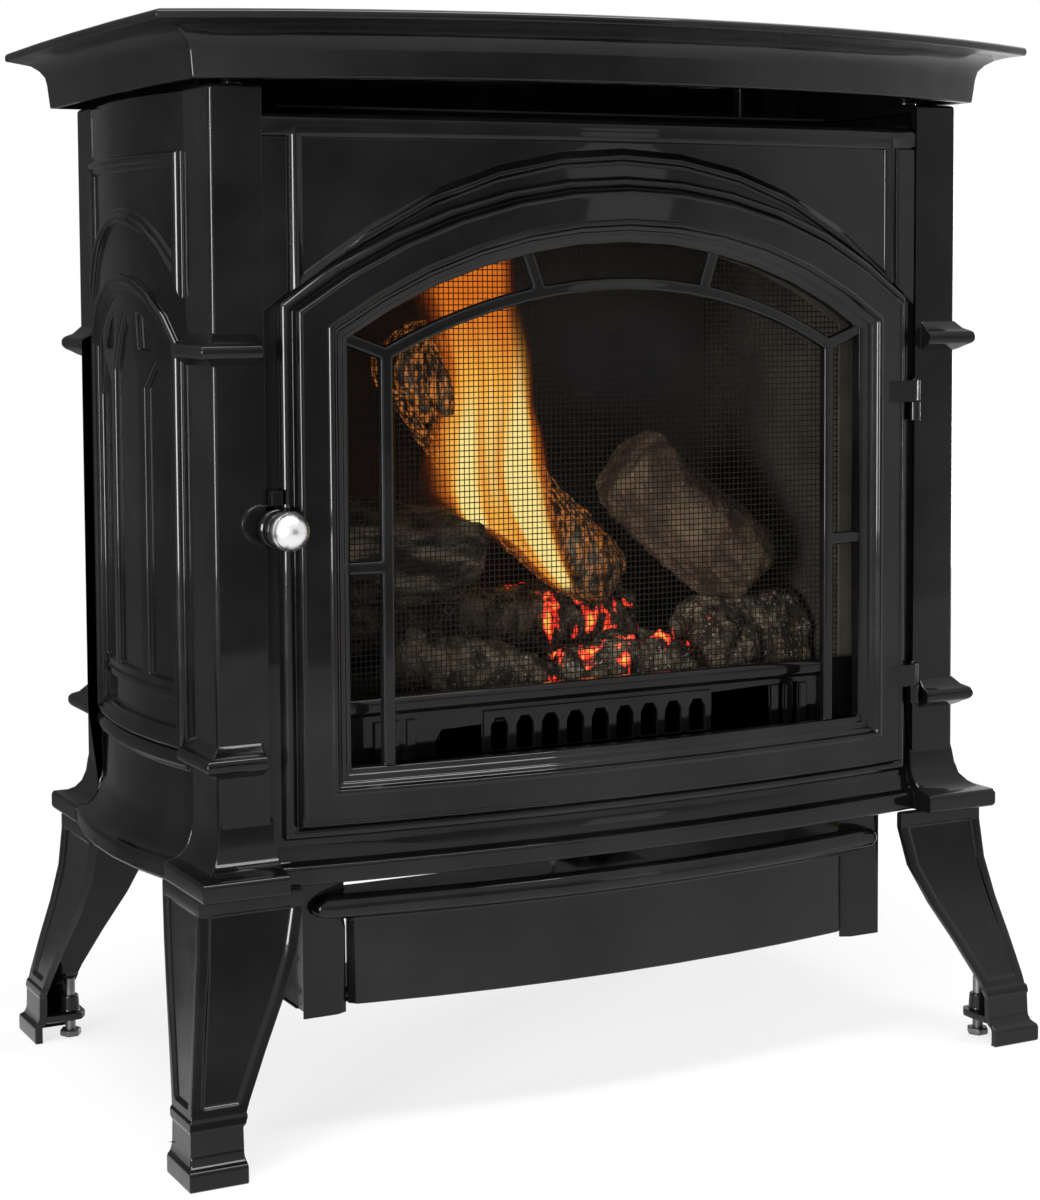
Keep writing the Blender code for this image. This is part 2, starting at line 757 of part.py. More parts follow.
def meet_arc(radius, centre, start, slope):
    """The x at which a line of a slope through a start point crosses an arc, on the side of the start."""
    rise = start[1] - slope * start[0] - centre
    a = 1 + slope ** 2
    b = 2 * slope * rise
    c = rise ** 2 - radius ** 2
    root = math.sqrt(b ** 2 - 4 * a * c)
    return (-b - root) / (2 * a) if start[0] < 0 else (-b + root) / (2 * a)


def door_lights():
    """The clear lights between the bars: one large, three over the inner arch and two on each side."""
    edge = 0.001
    half_bar = bar_width / 2
    bottom = opening_bottom - edge
    outer_radius = arch_radius + edge
    bar_top = inner_arch_radius + half_bar
    lights = [arched(side_bar_x - half_bar, bottom, inner_arch_radius - half_bar, inner_arch_centre)]
    corner = (-opening_half, arch_height(arch_radius, arch_centre, opening_half))
    joint = (-side_bar_x, arch_height(inner_arch_radius, inner_arch_centre, side_bar_x))
    slope = (joint[1] - corner[1]) / (joint[0] - corner[0])
    lift = half_bar * math.sqrt(1 + slope ** 2)
    upper = (corner[0], corner[1] + lift)
    lower = (corner[0], corner[1] - lift)
    spoke_low = spoke_x - 0.004
    spoke_high = spoke_x + 0.004
    middle = arc_run(outer_radius, arch_centre, spoke_high - half_bar, -spoke_high + half_bar, 5)
    middle += arc_run(bar_top, inner_arch_centre, -spoke_low + half_bar, spoke_low - half_bar, 5)
    lights.append(middle)
    outer_meet = meet_arc(outer_radius, arch_centre, upper, slope)
    inner_meet = meet_arc(bar_top, inner_arch_centre, upper, slope)
    wing = arc_run(outer_radius, arch_centre, -spoke_high - half_bar, outer_meet, 6)
    wing += arc_run(bar_top, inner_arch_centre, inner_meet, -spoke_low - half_bar, 6)
    strip_in = -side_bar_x - half_bar
    strip_out = -opening_half - edge
    high = [(strip_out, cross_bar_z + half_bar), (strip_in, cross_bar_z + half_bar),
            (strip_in, lower[1] + slope * (strip_in - lower[0])),
            (strip_out, lower[1] + slope * (strip_out - lower[0]))]
    low = [(strip_out, bottom), (strip_in, bottom), (strip_in, cross_bar_z - half_bar),
           (strip_out, cross_bar_z - half_bar)]
    for light in (wing, high, low):
        lights.append(light)
        lights.append([(-x, z) for x, z in light])
    return lights


def knuckle_plan(x_out, reach_in, face, back, z):
    """A hinge knuckle in plan: a barrel round the axis with a leaf that reaches towards the door."""
    axis_y = front_y - hinge_back
    points = []
    for angle in spread(-math.pi * 0.5, math.pi * 0.5, 6):
        points.append((hinge_x + barrel_radius * math.cos(angle), axis_y + barrel_radius * math.sin(angle), z))
    points += [(hinge_x - 0.002, axis_y + barrel_radius, z), (hinge_x - 0.002, back, z), (reach_in, back, z),
               (reach_in, face, z), (x_out, face, z)]
    return points


def hinge_lug(split):
    """The door's half of a hinge: a block over the door's edge that ends in a barrel."""
    face = front_y - 0.0137
    back = front_y - 0.0035
    inner = hinge_x - lug_width
    low = split + gap
    rings = [knuckle_plan(hinge_x - 0.004, inner, face, back, z) for z in (low, low + door_knuckle)]
    return stack(rings)


def make_door():
    casting = make_door_casting()
    bars = slab(door_outline(0.007), door_lights(), door_y - 0.0032, door_y - 0.0032 + bar_depth, 0.0016)
    combine(casting, [bars])
    bend(casting, front_stations[1:-1], front_shift)
    lugs = [hinge_lug(split) for split in hinge_splits]
    boss_back = front_y - 0.0012
    boss = turn([(0.0, boss_radius - 0.001), (-0.001, boss_radius), (-0.006, boss_radius),
                 (-0.0072, boss_radius - 0.0018), (-0.0084, boss_radius - 0.0018), (-0.0096, boss_radius - 0.0004),
                 (-0.0150, boss_radius - 0.0008), (-0.0170, boss_radius - 0.0030)],
                "y", (latch_x, boss_back, latch_z), 20)
    arm = box((latch_x, latch_x + 0.026), (door_y - 0.0150, boss_back - 0.0006),
              (latch_z - 0.0105, latch_z + 0.0105))
    combine(casting, lugs + [boss, arm])
    holes = [rod("y", (latch_x, front_y, latch_z), -0.040, 0.010, spindle_radius + running_gap, shaft_sides)]
    axis = (hinge_x, front_y - hinge_back, 0)
    holes += [rod("z", axis, split - 0.002, split + door_knuckle + 0.004, pin_radius + running_gap, shaft_sides)
              for split in hinge_splits]
    cut(casting, holes)
    return piece("door", casting, cast_black, (hinge_x, front_y - hinge_back, 0))


def frame_pad(left, right, face, heights):
    """A block on the bowed front frame, whose back follows the frame."""
    backs = [plate_y - gap + front_shift(x) for x in (left, right)]
    rings = [[(left, face, z), (right, face, z), (right, backs[1], z), (left, backs[0], z)] for z in heights]
    return stack(rings)


def make_frame_hinge(name, split):
    """The frame's half of a hinge: a barrel on a foot, with the pin that carries the door."""
    axis_y = front_y - hinge_back
    bottom = split - frame_knuckle
    barrel = rod("z", (hinge_x, axis_y, 0), bottom, split, barrel_radius, 14)
    foot = frame_pad(hinge_x - 0.0042, hinge_x + 0.0030, axis_y, (bottom + 0.0006, split - 0.0006))
    pin = turn([(split - 0.006, pin_radius), (split + door_knuckle + 0.0010, pin_radius),
                (split + door_knuckle + 0.0018, pin_radius - 0.0008)], "z", (hinge_x, axis_y, 0), shaft_sides)
    return piece(name, combine(barrel, [foot, pin]), cast_black)


def make_knob():
    """A turned ball knob with a stepped rim and a low cone on its face, on its spindle."""
    seat = front_y - 0.0012 - 0.0170
    radius = knob_radius
    ball = [(-gap, 0.0060), (-0.0030, 0.0062), (-0.0042, 0.0095), (-0.0058, 0.0122), (-0.0080, radius),
            (-0.0104, radius - 0.0001), (-0.0122, radius - 0.0012), (-0.0130, radius - 0.0012),
            (-0.0156, radius - 0.0022), (-0.0190, radius - 0.0060), (-0.0205, radius - 0.0100), (-0.0208, 0.0010)]
    knob = turn(ball, "y", (latch_x, seat, latch_z), 22)
    cam_y = plate_y + iron + 0.0012
    spindle = rod("y", (latch_x, 0, latch_z), seat - 0.008, cam_y + 0.0004, spindle_radius, shaft_sides)
    combine(knob, [spindle])
    return piece("door_knob", knob, nickel, (latch_x, front_y, latch_z))


def make_cam():
    """The tongue behind the frame that holds the door shut when it is turned across its slot."""
    near = plate_y + iron + 0.0016 + gap
    half = cam_width / 2
    reach = cam_length / 2 - half
    outline = []
    for centre, start in ((reach, 0.0), (-reach, math.pi)):
        for angle in spread(start, start + math.pi, 5):
            outline.append((latch_x + half * math.cos(angle), latch_z + centre + half * math.sin(angle)))
    tongue = slab(outline, [], near, near + cam_thick)
    return piece("latch_cam", tongue, zinc, (latch_x, front_y, latch_z))


def make_stop():
    """The stop block on the frame, above the latch boss."""
    z = latch_z + boss_radius + 0.0018
    block = frame_pad(latch_x - 0.0050, latch_x + 0.0030, front_y - 0.0080, (z, z + 0.0100))
    return piece("latch_stop", block, cast_black)


# Legs, modelled in the same corner frame as the posts

def leg_swing(z):
    """How far a leg has swept out at a height: 0 under the ledge, 1 at the ankle."""
    top = ledge_bottom - 0.009
    t = min(max((top - z) / (top - ankle_z), 0.0), 1.0)
    return t * t * (2.2 - 1.2 * t)


def leg_ring(z, flare, recess, swell=0.0):
    swing = leg_swing(z)
    a = leg_out_top[0] + (leg_out_ankle[0] - leg_out_top[0]) * swing
    b = leg_out_top[1] + (leg_out_ankle[1] - leg_out_top[1]) * swing
    width = leg_width_top + (leg_width_ankle - leg_width_top) * swing + swell * 2
    a += swell + foot_flare[0] * flare
    b += swell + foot_flare[1] * flare
    rim = leg_rim
    step = 0.0016
    wall = iron
    reach_a = width + foot_flare[0] * flare
    reach_b = width + foot_flare[1] * flare
    return [(a, b, z), (a - rim, b, z), (a - rim - step, b - recess, z), (a - reach_a + rim + step, b - recess, z),
            (a - reach_a + rim, b, z), (a - reach_a, b, z), (a - reach_a, b - wall, z), (a - wall, b - wall, z),
            (a - wall, b - reach_b, z), (a, b - reach_b, z), (a, b - reach_b + rim, z),
            (a - recess, b - reach_b + rim + step, z), (a - recess, b - rim - step, z), (a, b - rim, z)]


def make_leg_mesh():
    top = ledge_bottom - gap
    panel_top = ledge_bottom - 0.0125
    panel_bottom = ankle_z + 0.0150
    rings = [leg_ring(top, 0, 0), leg_ring(panel_top + 0.0016, 0, 0)]
    rings += [leg_ring(z, 0, leg_panel) for z in spread(panel_top, panel_bottom, 4)]
    rings += [leg_ring(panel_bottom - 0.0016, 0, 0), leg_ring(ankle_z + 0.0080, 0, 0),
              leg_ring(ankle_z + 0.0068, 0, 0, 0.0010), leg_ring(ankle_z + 0.0015, 0, 0, 0.0010),
              leg_ring(ankle_z, 0, 0, 0.0), leg_ring(0.0200, 0.10, 0), leg_ring(0.0150, 0.45, 0),
              leg_ring(0.0128, 0.90, 0), leg_ring(0.0112, 1.0, 0), leg_ring(0.0016, 1.0, 0), leg_ring(0.0, 0.9, 0)]
    leg = stack(rings)
    corner = (leg_out_ankle[0] + foot_flare[0], leg_out_ankle[1] + foot_flare[1])
    centre = (corner[0] - boss_inset, corner[1] - boss_inset - 0.004)
    inside = (leg_out_ankle[0] - iron + 0.001, leg_out_ankle[1] - iron + 0.001)
    web_plan = [inside, (inside[0], inside[1] - 0.031), (centre[0] + 0.006, centre[1] - 0.011),
                (centre[0] - 0.006, centre[1] - 0.011), (centre[0] - 0.011, centre[1] - 0.004),
                (centre[0] - 0.011, centre[1] + 0.006), (inside[0] - 0.031, inside[1])]
    clear_of_head = bolt_head_top + bolt_travel
    web = stack([[(x, y, z) for x, y in web_plan] for z in (clear_of_head + 0.0012, clear_of_head + 0.0072)])
    boss = turn([(clear_of_head + 0.0004, 0.0078), (0.0330, 0.0066)], "z", (centre[0], centre[1], 0), 14)
    combine(leg, [web, boss])
    cut(leg, [rod("z", (centre[0], centre[1], 0), 0.005, 0.040, bolt_radius + running_gap, shaft_sides)])
    return leg, centre


def make_legs():
    leg, centre = make_leg_mesh()
    head_low = 0.0008
    head_high = bolt_head_top
    shank = turn([(head_high - 0.001, bolt_radius), (0.0460, bolt_radius)], "z", (centre[0], centre[1], 0),
                 shaft_sides)
    head = turn([(head_low, bolt_head - 0.0008), (head_low + 0.0008, bolt_head), (head_high - 0.0008, bolt_head),
                 (head_high, bolt_head - 0.0008)], "z", (centre[0], centre[1], 0), 6)
    bolt = combine(head, [shank])
    corners = {"front_left": (-1, -1), "front_right": (1, -1), "rear_left": (-1, 1), "rear_right": (1, 1)}
    for name, (side, end) in corners.items():
        frame = corner_frame(side, end)
        piece("leg_" + name, placed(leg, frame, keep=True), cast_black)
        pivot = frame @ Vector((centre[0], centre[1], head_low))
        piece("leveler_" + name, placed(bolt, frame, keep=True), zinc, pivot)
    for used in (leg, bolt):
        bpy.data.objects.remove(used, do_unlink=True)


# Sheet-metal body inside the castings

plate_floor = ledge_bottom + flange_thick + gap
mixer_foot = box_floor - 0.031


def make_bottom_plate():
    low, high = plate_floor, plate_floor + steel
    x = body_half - iron - 0.004
    front = plate_y + iron + 0.0015
    rear = rear_y - iron - 0.006
    outer = [(-x, front), (x, front), (x, rear), (-x, rear)]
    slots = []
    for row in (-1, 1):
        for column in range(-2, 3):
            centre_x, centre_y = column * 0.085, 0.060 + row * 0.036
            slots.append([(centre_x - 0.022, centre_y - 0.006), (centre_x + 0.022, centre_y - 0.006),
                          (centre_x + 0.022, centre_y + 0.006), (centre_x - 0.022, centre_y + 0.006)])
    slots.append([(throat_x - 0.030, -0.056), (throat_x + 0.030, -0.056), (throat_x + 0.030, 0.006),
                  (throat_x - 0.030, 0.006)])
    x, y = pilot_at
    slots.append([(x - 0.008, y - 0.008), (x + 0.008, y - 0.008), (x + 0.008, y + 0.008), (x - 0.008, y + 0.008)])
    sheet = slab(outer, slots, -high, -low)
    placed(sheet, Matrix(((1, 0, 0, 0), (0, 0, 1, 0), (0, -1, 0, 0), (0, 0, 0, 1))))
    return piece("bottom_plate", sheet, matt_black)


def make_rear_panel():
    """A steel back with rows of air slots, fixed inside the rear posts."""
    y = rear_y - iron - gap - steel
    half = body_half - iron - 0.006
    low = plate_floor + steel + gap
    high = post_top - 0.012
    outer = [(-half, low), (half, low), (half, high), (-half, high)]
    slots = []
    for z in (0.270, 0.560):
        for column in range(-4, 5):
            x = column * 0.050
            slots.append([(x - 0.004, z), (x + 0.004, z), (x + 0.004, z + 0.070), (x - 0.004, z + 0.070)])
    sheet = slab(outer, slots, y, y + steel)
    return piece("rear_panel", sheet, matt_black)


def make_firebox():
    low = plate_floor + steel + gap
    shell = box((-box_half, box_half), (box_front, box_rear), (low, box_top))
    inner = box_half - steel
    upper = box((-inner, inner), (box_front - 0.010, box_rear - steel), (box_floor + steel, box_top - steel))
    lower = box((-inner, inner), (box_front - 0.010, box_rear - steel), (low - 0.010, box_floor))
    throat = rod("z", (throat_x, throat_y, 0), box_floor - 0.010, box_floor + 0.010, 0.0140, 12)
    pilot_hole = rod("z", (*pilot_at, 0), box_floor - 0.010, box_floor + 0.010, pilot_tube_radius + 0.0010, 8)
    return piece("firebox", cut(shell, [upper, lower, throat, pilot_hole]), matt_black)


def make_heat_baffle():
    """The bent sheet over the firebox that turns the warm air forward to the outlet under the mantel."""
    low = box_top + gap
    top = post_top - 0.020
    profile = [(0.060, low), (0.100, low), (0.100, top), (-0.050, top + 0.012), (-0.050, top + 0.012 - steel),
               (0.100 - steel, top - steel), (0.100 - steel, low + steel), (0.060, low + steel)]
    return piece("heat_baffle", along_x(profile, (-screen_half, screen_half)), matt_black)


def make_fender():
    """The low casting at the firebox mouth, with a row of arched air slots under its top bar."""
    front = box_front + 0.0020
    low = box_floor + steel + gap
    panel_top = fender_top - 0.014
    pitch = 0.0204
    outline = [(-fender_half, low), (fender_half, low), (fender_half, fender_top - 0.002),
               (-fender_half, fender_top - 0.002)]

    def slot(x, half, top, steps=3):
        points = [(x - half, low + 0.010), (x + half, low + 0.010)]
        for angle in spread(0.0, math.pi, steps):
            points.append((x + half * math.cos(angle), top - half + half * math.sin(angle)))
        return points

    def window(x, half):
        return [(x - half, low + 0.008), (x + half, low + 0.008), (x + half, panel_top - 0.008),
                (x - half, panel_top - 0.008)]

    windows = [window(index * pitch * 3, pitch + 0.0080) for index in (-1, 0, 1)]
    windows += [slot(side * 0.1210, 0.0090, panel_top - 0.012) for side in (-1, 1)]
    panel = slab(outline, windows, front + 0.004, front + fender_thick)
    raised_half = 0.0940
    raised = slab([(-raised_half, low + 0.004), (raised_half, low + 0.004), (raised_half, panel_top - 0.002),
                   (-raised_half, panel_top - 0.002)],
                  [slot(index * pitch, 0.0068, panel_top - 0.0070) for index in range(-4, 5)],
                  front + 0.0012, front + 0.0062)
    bar = along_x([(front + 0.0092, panel_top + 0.001), (front + 0.0006, panel_top + 0.002),
                   (front - 0.001, panel_top + 0.005), (front - 0.001, fender_top - 0.003),
                   (front + 0.001, fender_top), (front + 0.0092, fender_top)],
                  (-fender_half + 0.0004, fender_half - 0.0004))
    ribs = []
    for side in (-1, 1):
        for index in range(3):
            x = side * (0.150 + index * 0.0125)
            ribs.append(box((x - 0.0035, x + 0.0035), (front + 0.0016, front + 0.0062),
                            (low + 0.004, panel_top - 0.003)))
    return piece("fender", combine(panel, [raised, bar] + ribs), cast_black)


screen_y = box_front + 0.002 + fender_thick + gap


def screen_outline(reach, steps=10):
    half = screen_half - reach
    return arched(half, box_floor + steel + gap + reach, arch_radius + 0.0185 - reach, arch_centre, steps)


def make_screen():
    """The spark screen: a flat steel surround, and a woven net clipped behind it."""
    surround = slab(screen_outline(0.0), [screen_outline(screen_strip)], screen_y, screen_y + 0.002)
    piece("screen_surround", surround, matt_black)
    margin = 0.004
    inner_half = screen_half - margin - 0.003
    bottom = box_floor + steel + gap + margin + 0.003
    cells = []
    pitch = 2 * inner_half / mesh_columns
    radius = arch_radius + 0.0185 - margin - 0.003
    for column in range(mesh_columns):
        left = -inner_half + column * pitch + wire / 2
        right = left + pitch - wire
        tops = [arch_height(radius, arch_centre, x) - bottom for x in (left, right)]
        for row in range(mesh_rows):
            low, high = row / mesh_rows, (row + 1) / mesh_rows
            cells.append([(left, bottom + tops[0] * low + wire / 2), (right, bottom + tops[1] * low + wire / 2),
                          (right, bottom + tops[1] * high - wire / 2), (left, bottom + tops[0] * high - wire / 2)])
    near = screen_y + 0.002 + gap
    net = slab(screen_outline(margin), cells, near, near + 0.0012)
    piece("spark_screen", net, matt_black)


# Burner and logs

def make_burner():
    floor = box_floor + steel + gap
    rear = tray_front + tray_depth
    top = floor + tray_height
    tray = box((-tray_half, tray_half), (tray_front, rear), (floor, top))
    hollow = box((-tray_half + steel, tray_half - steel), (tray_front + steel, rear - steel),
                 (floor + steel, top - steel))
    throat = rod("z", (throat_x, throat_y, 0), floor - 0.002, floor + steel + 0.002, mixer_radius + gap, 12)
    ports = [box((x - 0.012, x + 0.012), (y - 0.0018, y + 0.0018), (top - 0.004, top + 0.002))
             for x in spread(-0.135, 0.135, 5) for y in (tray_front + 0.020, tray_front + 0.050)]
    cut(tray, [hollow, throat] + ports)
    piece("burner_tray", tray, matt_black)
    rim = floor + steel + gap
    foot = mixer_foot
    mixer = turn([(rim + 0.0015, mixer_radius + 0.0025), (rim, mixer_radius + 0.0025), (rim, mixer_radius),
                  (foot + 0.014, mixer_radius), (foot, 0.0135)], "z", (throat_x, throat_y, 0), 12)
    bore = turn([(rim + 0.0040, mixer_radius - steel), (foot + 0.013, mixer_radius - steel), (foot - 0.002, 0.0122)],
                "z", (throat_x, throat_y, 0), 12)
    piece("mixing_tube", cut(mixer, [bore]), zinc)
    return top


def bark_log(start, end, radii, seed, sides=10, rings=8):
    """A round of wood: a tapered body whose rings wander and whose bark is ribbed, by a formula."""
    start, end = Vector(start), Vector(end)
    axis = (end - start).normalized()
    side = axis.orthogonal().normalized()
    up = axis.cross(side)
    loops = []
    for step in range(rings + 1):
        t = step / rings
        centre = start.lerp(end, t)
        centre = centre + side * 0.004 * math.sin(5 * t + seed) + up * 0.005 * math.sin(4 * t + 2 * seed)
        radius = radii[0] + (radii[1] - radii[0]) * t
        if step in (0, rings):
            radius *= 0.88
        loop = []
        for index in range(sides):
            angle = 2 * math.pi * index / sides
            wave = 0.07 * math.sin(3 * angle + seed) + 0.05 * math.sin(5 * angle + 7 * t + seed)
            reach = radius * (1 + wave + 0.04 * math.sin(9 * t + 2 * angle))
            loop.append(tuple(centre + (side * math.cos(angle) + up * math.sin(angle)) * reach))
        loops.append(loop)
    return stack(loops)


def seated(log, low, high=None):
    """Lets a log down on the piece below it with a flat cut, and levels its top where another one stands."""
    dip = 0.004
    lowest = min(vertex.co.z for vertex in log.data.vertices)
    placed(log, Matrix.Translation((0, 0, low - dip - lowest)))
    cuts = [box((-0.5, 0.5), (-0.5, 0.5), (low - 0.2, low))]
    if high is not None:
        cuts.append(box((-0.5, 0.5), (-0.5, 0.5), (high, high + 0.2)))
    return cut(log, cuts)


def make_logs(top):
    """The log set: a shelf and a rear log, two logs on the rear one, two in front, one across, and the embers."""
    rest = top + gap
    shelf_y = tray_front + tray_depth - 0.006
    shelf_top = rest + 0.028
    shelf = box((-tray_half + 0.01, 0.110), (shelf_y - 0.045, shelf_y), (rest, shelf_top))
    piece("log_shelf", shelf, charred)
    seat = shelf_top + gap
    crown = shelf_top + 0.0534
    rear = bark_log((-0.168, shelf_y - 0.022, seat + 0.027), (0.104, shelf_y - 0.022, seat + 0.0275),
                    (0.029, 0.030), 0.4)
    piece("log_rear", seated(rear, seat, crown), charred)
    left = bark_log((-0.200, 0.020, crown + 0.043), (-0.045, 0.018, crown + 0.030), (0.045, 0.034), 1.3)
    piece("log_left", seated(left, crown + gap), charred)
    leaning = bark_log((0.070, 0.032, crown + 0.013), (-0.095, 0.040, 0.534), (0.020, 0.021), 3.1)
    piece("log_leaning", seated(leaning, crown + gap), ceramic)
    bench = rest + 0.070
    low_right = bark_log((0.128, -0.008, rest + 0.036), (0.222, -0.006, rest + 0.038), (0.037, 0.038), 4.4,
                         rings=6)
    piece("log_front_right", seated(low_right, rest, bench), charred)
    right = bark_log((0.083, 0.000, 0.466), (0.180, -0.004, bench + 0.036), (0.037, 0.038), 2.2)
    piece("log_right", seated(right, bench + gap), ceramic)
    low_left = bark_log((-0.132, -0.031, rest + 0.064), (-0.012, -0.033, rest + 0.020), (0.021, 0.021), 5.2,
                        rings=6)
    piece("log_front_left", seated(low_left, rest), charred)
    rings = []
    for x in spread(0.004, 0.112, 8):
        crest = rest + 0.030 + 0.016 * math.sin(25 * x) + 0.006 * math.sin(160 * x)
        near, far = -0.051 + 0.003 * math.sin(120 * x), -0.004 + 0.004 * math.sin(90 * x)
        rings.append([(x, near, rest), (x, near - 0.001, rest + 0.012), (x, near + 0.007, crest - 0.005),
                      (x, (near + far) / 2, crest), (x, far - 0.006, crest - 0.004), (x, far, rest)])
    piece("ember_bed", stack(rings), ember)


# Lower skirt, cover and gas train

def cover_plan(half, out, z, wall=0.0, share=0.0, steps=8):
    """The cover in plan: a bowed front with rounded ends that turn back beside the controls."""
    corner = 0.014
    front = cover_front - out + wall
    arc = [(x, front + x ** 2 / (2 * cover_radius), z) for x in spread(corner - half, half - corner, steps)]
    edge_y = arc[-1][1]
    side_x = half - wall
    end_y = cover_end + (lip_end - cover_end) * share
    ends = [(side_x - 0.0042, edge_y + 0.0018, z), (side_x, edge_y + 0.0062, z), (side_x, end_y, z)]
    return [(-x, y, h) for x, y, h in reversed(ends)] + arc + ends


def cover_ring(share, z, shrink=0.0):
    half = cover_half + (lip_half - cover_half) * share - shrink
    outer = cover_plan(half, lip_out * share - shrink, z, share=share)
    return outer + list(reversed(cover_plan(cover_half, 0.0, z, wall=cover_wall)))


def make_cover():
    """The drop-front cover of the controls: a bowed apron under a heavy rounded lip, closed on top."""
    rings = [cover_ring(0.0, cover_bottom, 0.0006), cover_ring(0.0, cover_bottom + 0.0016),
             cover_ring(0.0, cover_shoulder - 0.0030)]
    lip_height = cover_top - cover_shoulder
    for share, rise in ((0.10, 0.0), (0.55, 0.06), (0.90, 0.20), (1.0, 0.42), (0.97, 0.66), (0.80, 0.86), (0.48, 1.0)):
        rings.append(cover_ring(share, cover_shoulder + lip_height * rise))
    apron = stack(rings)
    shelf_plan = cover_plan(cover_half - 0.0012, -0.0012, 0.0)
    shelf_plan[0] = (shelf_plan[0][0], cover_shelf_rear, 0.0)
    shelf_plan[-1] = (shelf_plan[-1][0], cover_shelf_rear, 0.0)
    shelf = stack([[(x, y, z) for x, y, _ in shelf_plan] for z in (cover_top - 0.0036, cover_top - 0.0008)])
    ears = []
    for side in (-1, 1):
        middle = side * (cover_half - cover_wall / 2)
        half_wall = cover_wall / 2 - 0.0004
        ears.append(box((middle - half_wall, middle + half_wall), (cover_end - 0.0010, cover_axis[1] + 0.0050),
                        (cover_bottom + 0.0004, cover_axis[2] + 0.0050)))
    combine(apron, [shelf] + ears)
    cut(apron, [rod("x", (side * cover_half, *cover_axis[1:]), -0.006, 0.006, hinge_rod_radius + running_gap,
                    shaft_sides) for side in (-1, 1)])
    return piece("control_cover", apron, cast_black, cover_axis)


def fold_ring(side, fold, step, z):
    """A corner flange of the pan in plan, folded back along a slanting line."""
    inner = cover_half + 0.0010
    ring = [(skirt_half, skirt_y, z), (fold, skirt_y, z), (inner, skirt_y + step, z),
            (inner, skirt_y + step + steel, z), (fold, skirt_y + steel, z), (skirt_half, skirt_y + steel, z)]
    return [(side * x, y, h) for x, y, h in ring]


def make_skirt():
    """The fixed pan behind the cover: a floor and two cheeks with folded corner flanges."""
    top = ledge_bottom - gap
    floor = box((-skirt_half + 0.004, skirt_half - 0.004), (cover_axis[1] + 0.016, skirt_y + skirt_depth),
                (skirt_bottom + 0.0004, skirt_bottom + 0.0004 + steel))
    parts = []
    for side in (-1, 1):
        cheek_x = side * (skirt_half - 0.006)
        parts.append(box((cheek_x - steel / 2, cheek_x + steel / 2), (skirt_y + 0.0005, skirt_y + skirt_depth - 0.0005),
                         (skirt_bottom + 0.0008, top)))
        folds = ((0.0085, 0.0035, skirt_bottom), (0.0245, 0.0035, cover_shoulder - 0.0076),
                 (0.0245, 0.0054, cover_shoulder - 0.0036), (0.0245, 0.0054, top))
        parts.append(stack([fold_ring(side, cover_half + reach, step, z) for reach, step, z in folds]))
    combine(floor, parts)
    cut(floor, [rod("x", (side * (skirt_half - 0.006), *cover_axis[1:]), -0.004, 0.004, hinge_rod_radius + gap, 12)
                for side in (-1, 1)])
    piece("skirt_pan", floor, cast_black)
    for side, name in ((-1, "left"), (1, "right")):
        ends = sorted((side * hinge_rod_inner, side * (hinge_rod_outer + 0.0015)))
        piece("cover_pin_" + name, rod("x", (0.0, *cover_axis[1:]), *ends, hinge_rod_radius, shaft_sides), zinc)


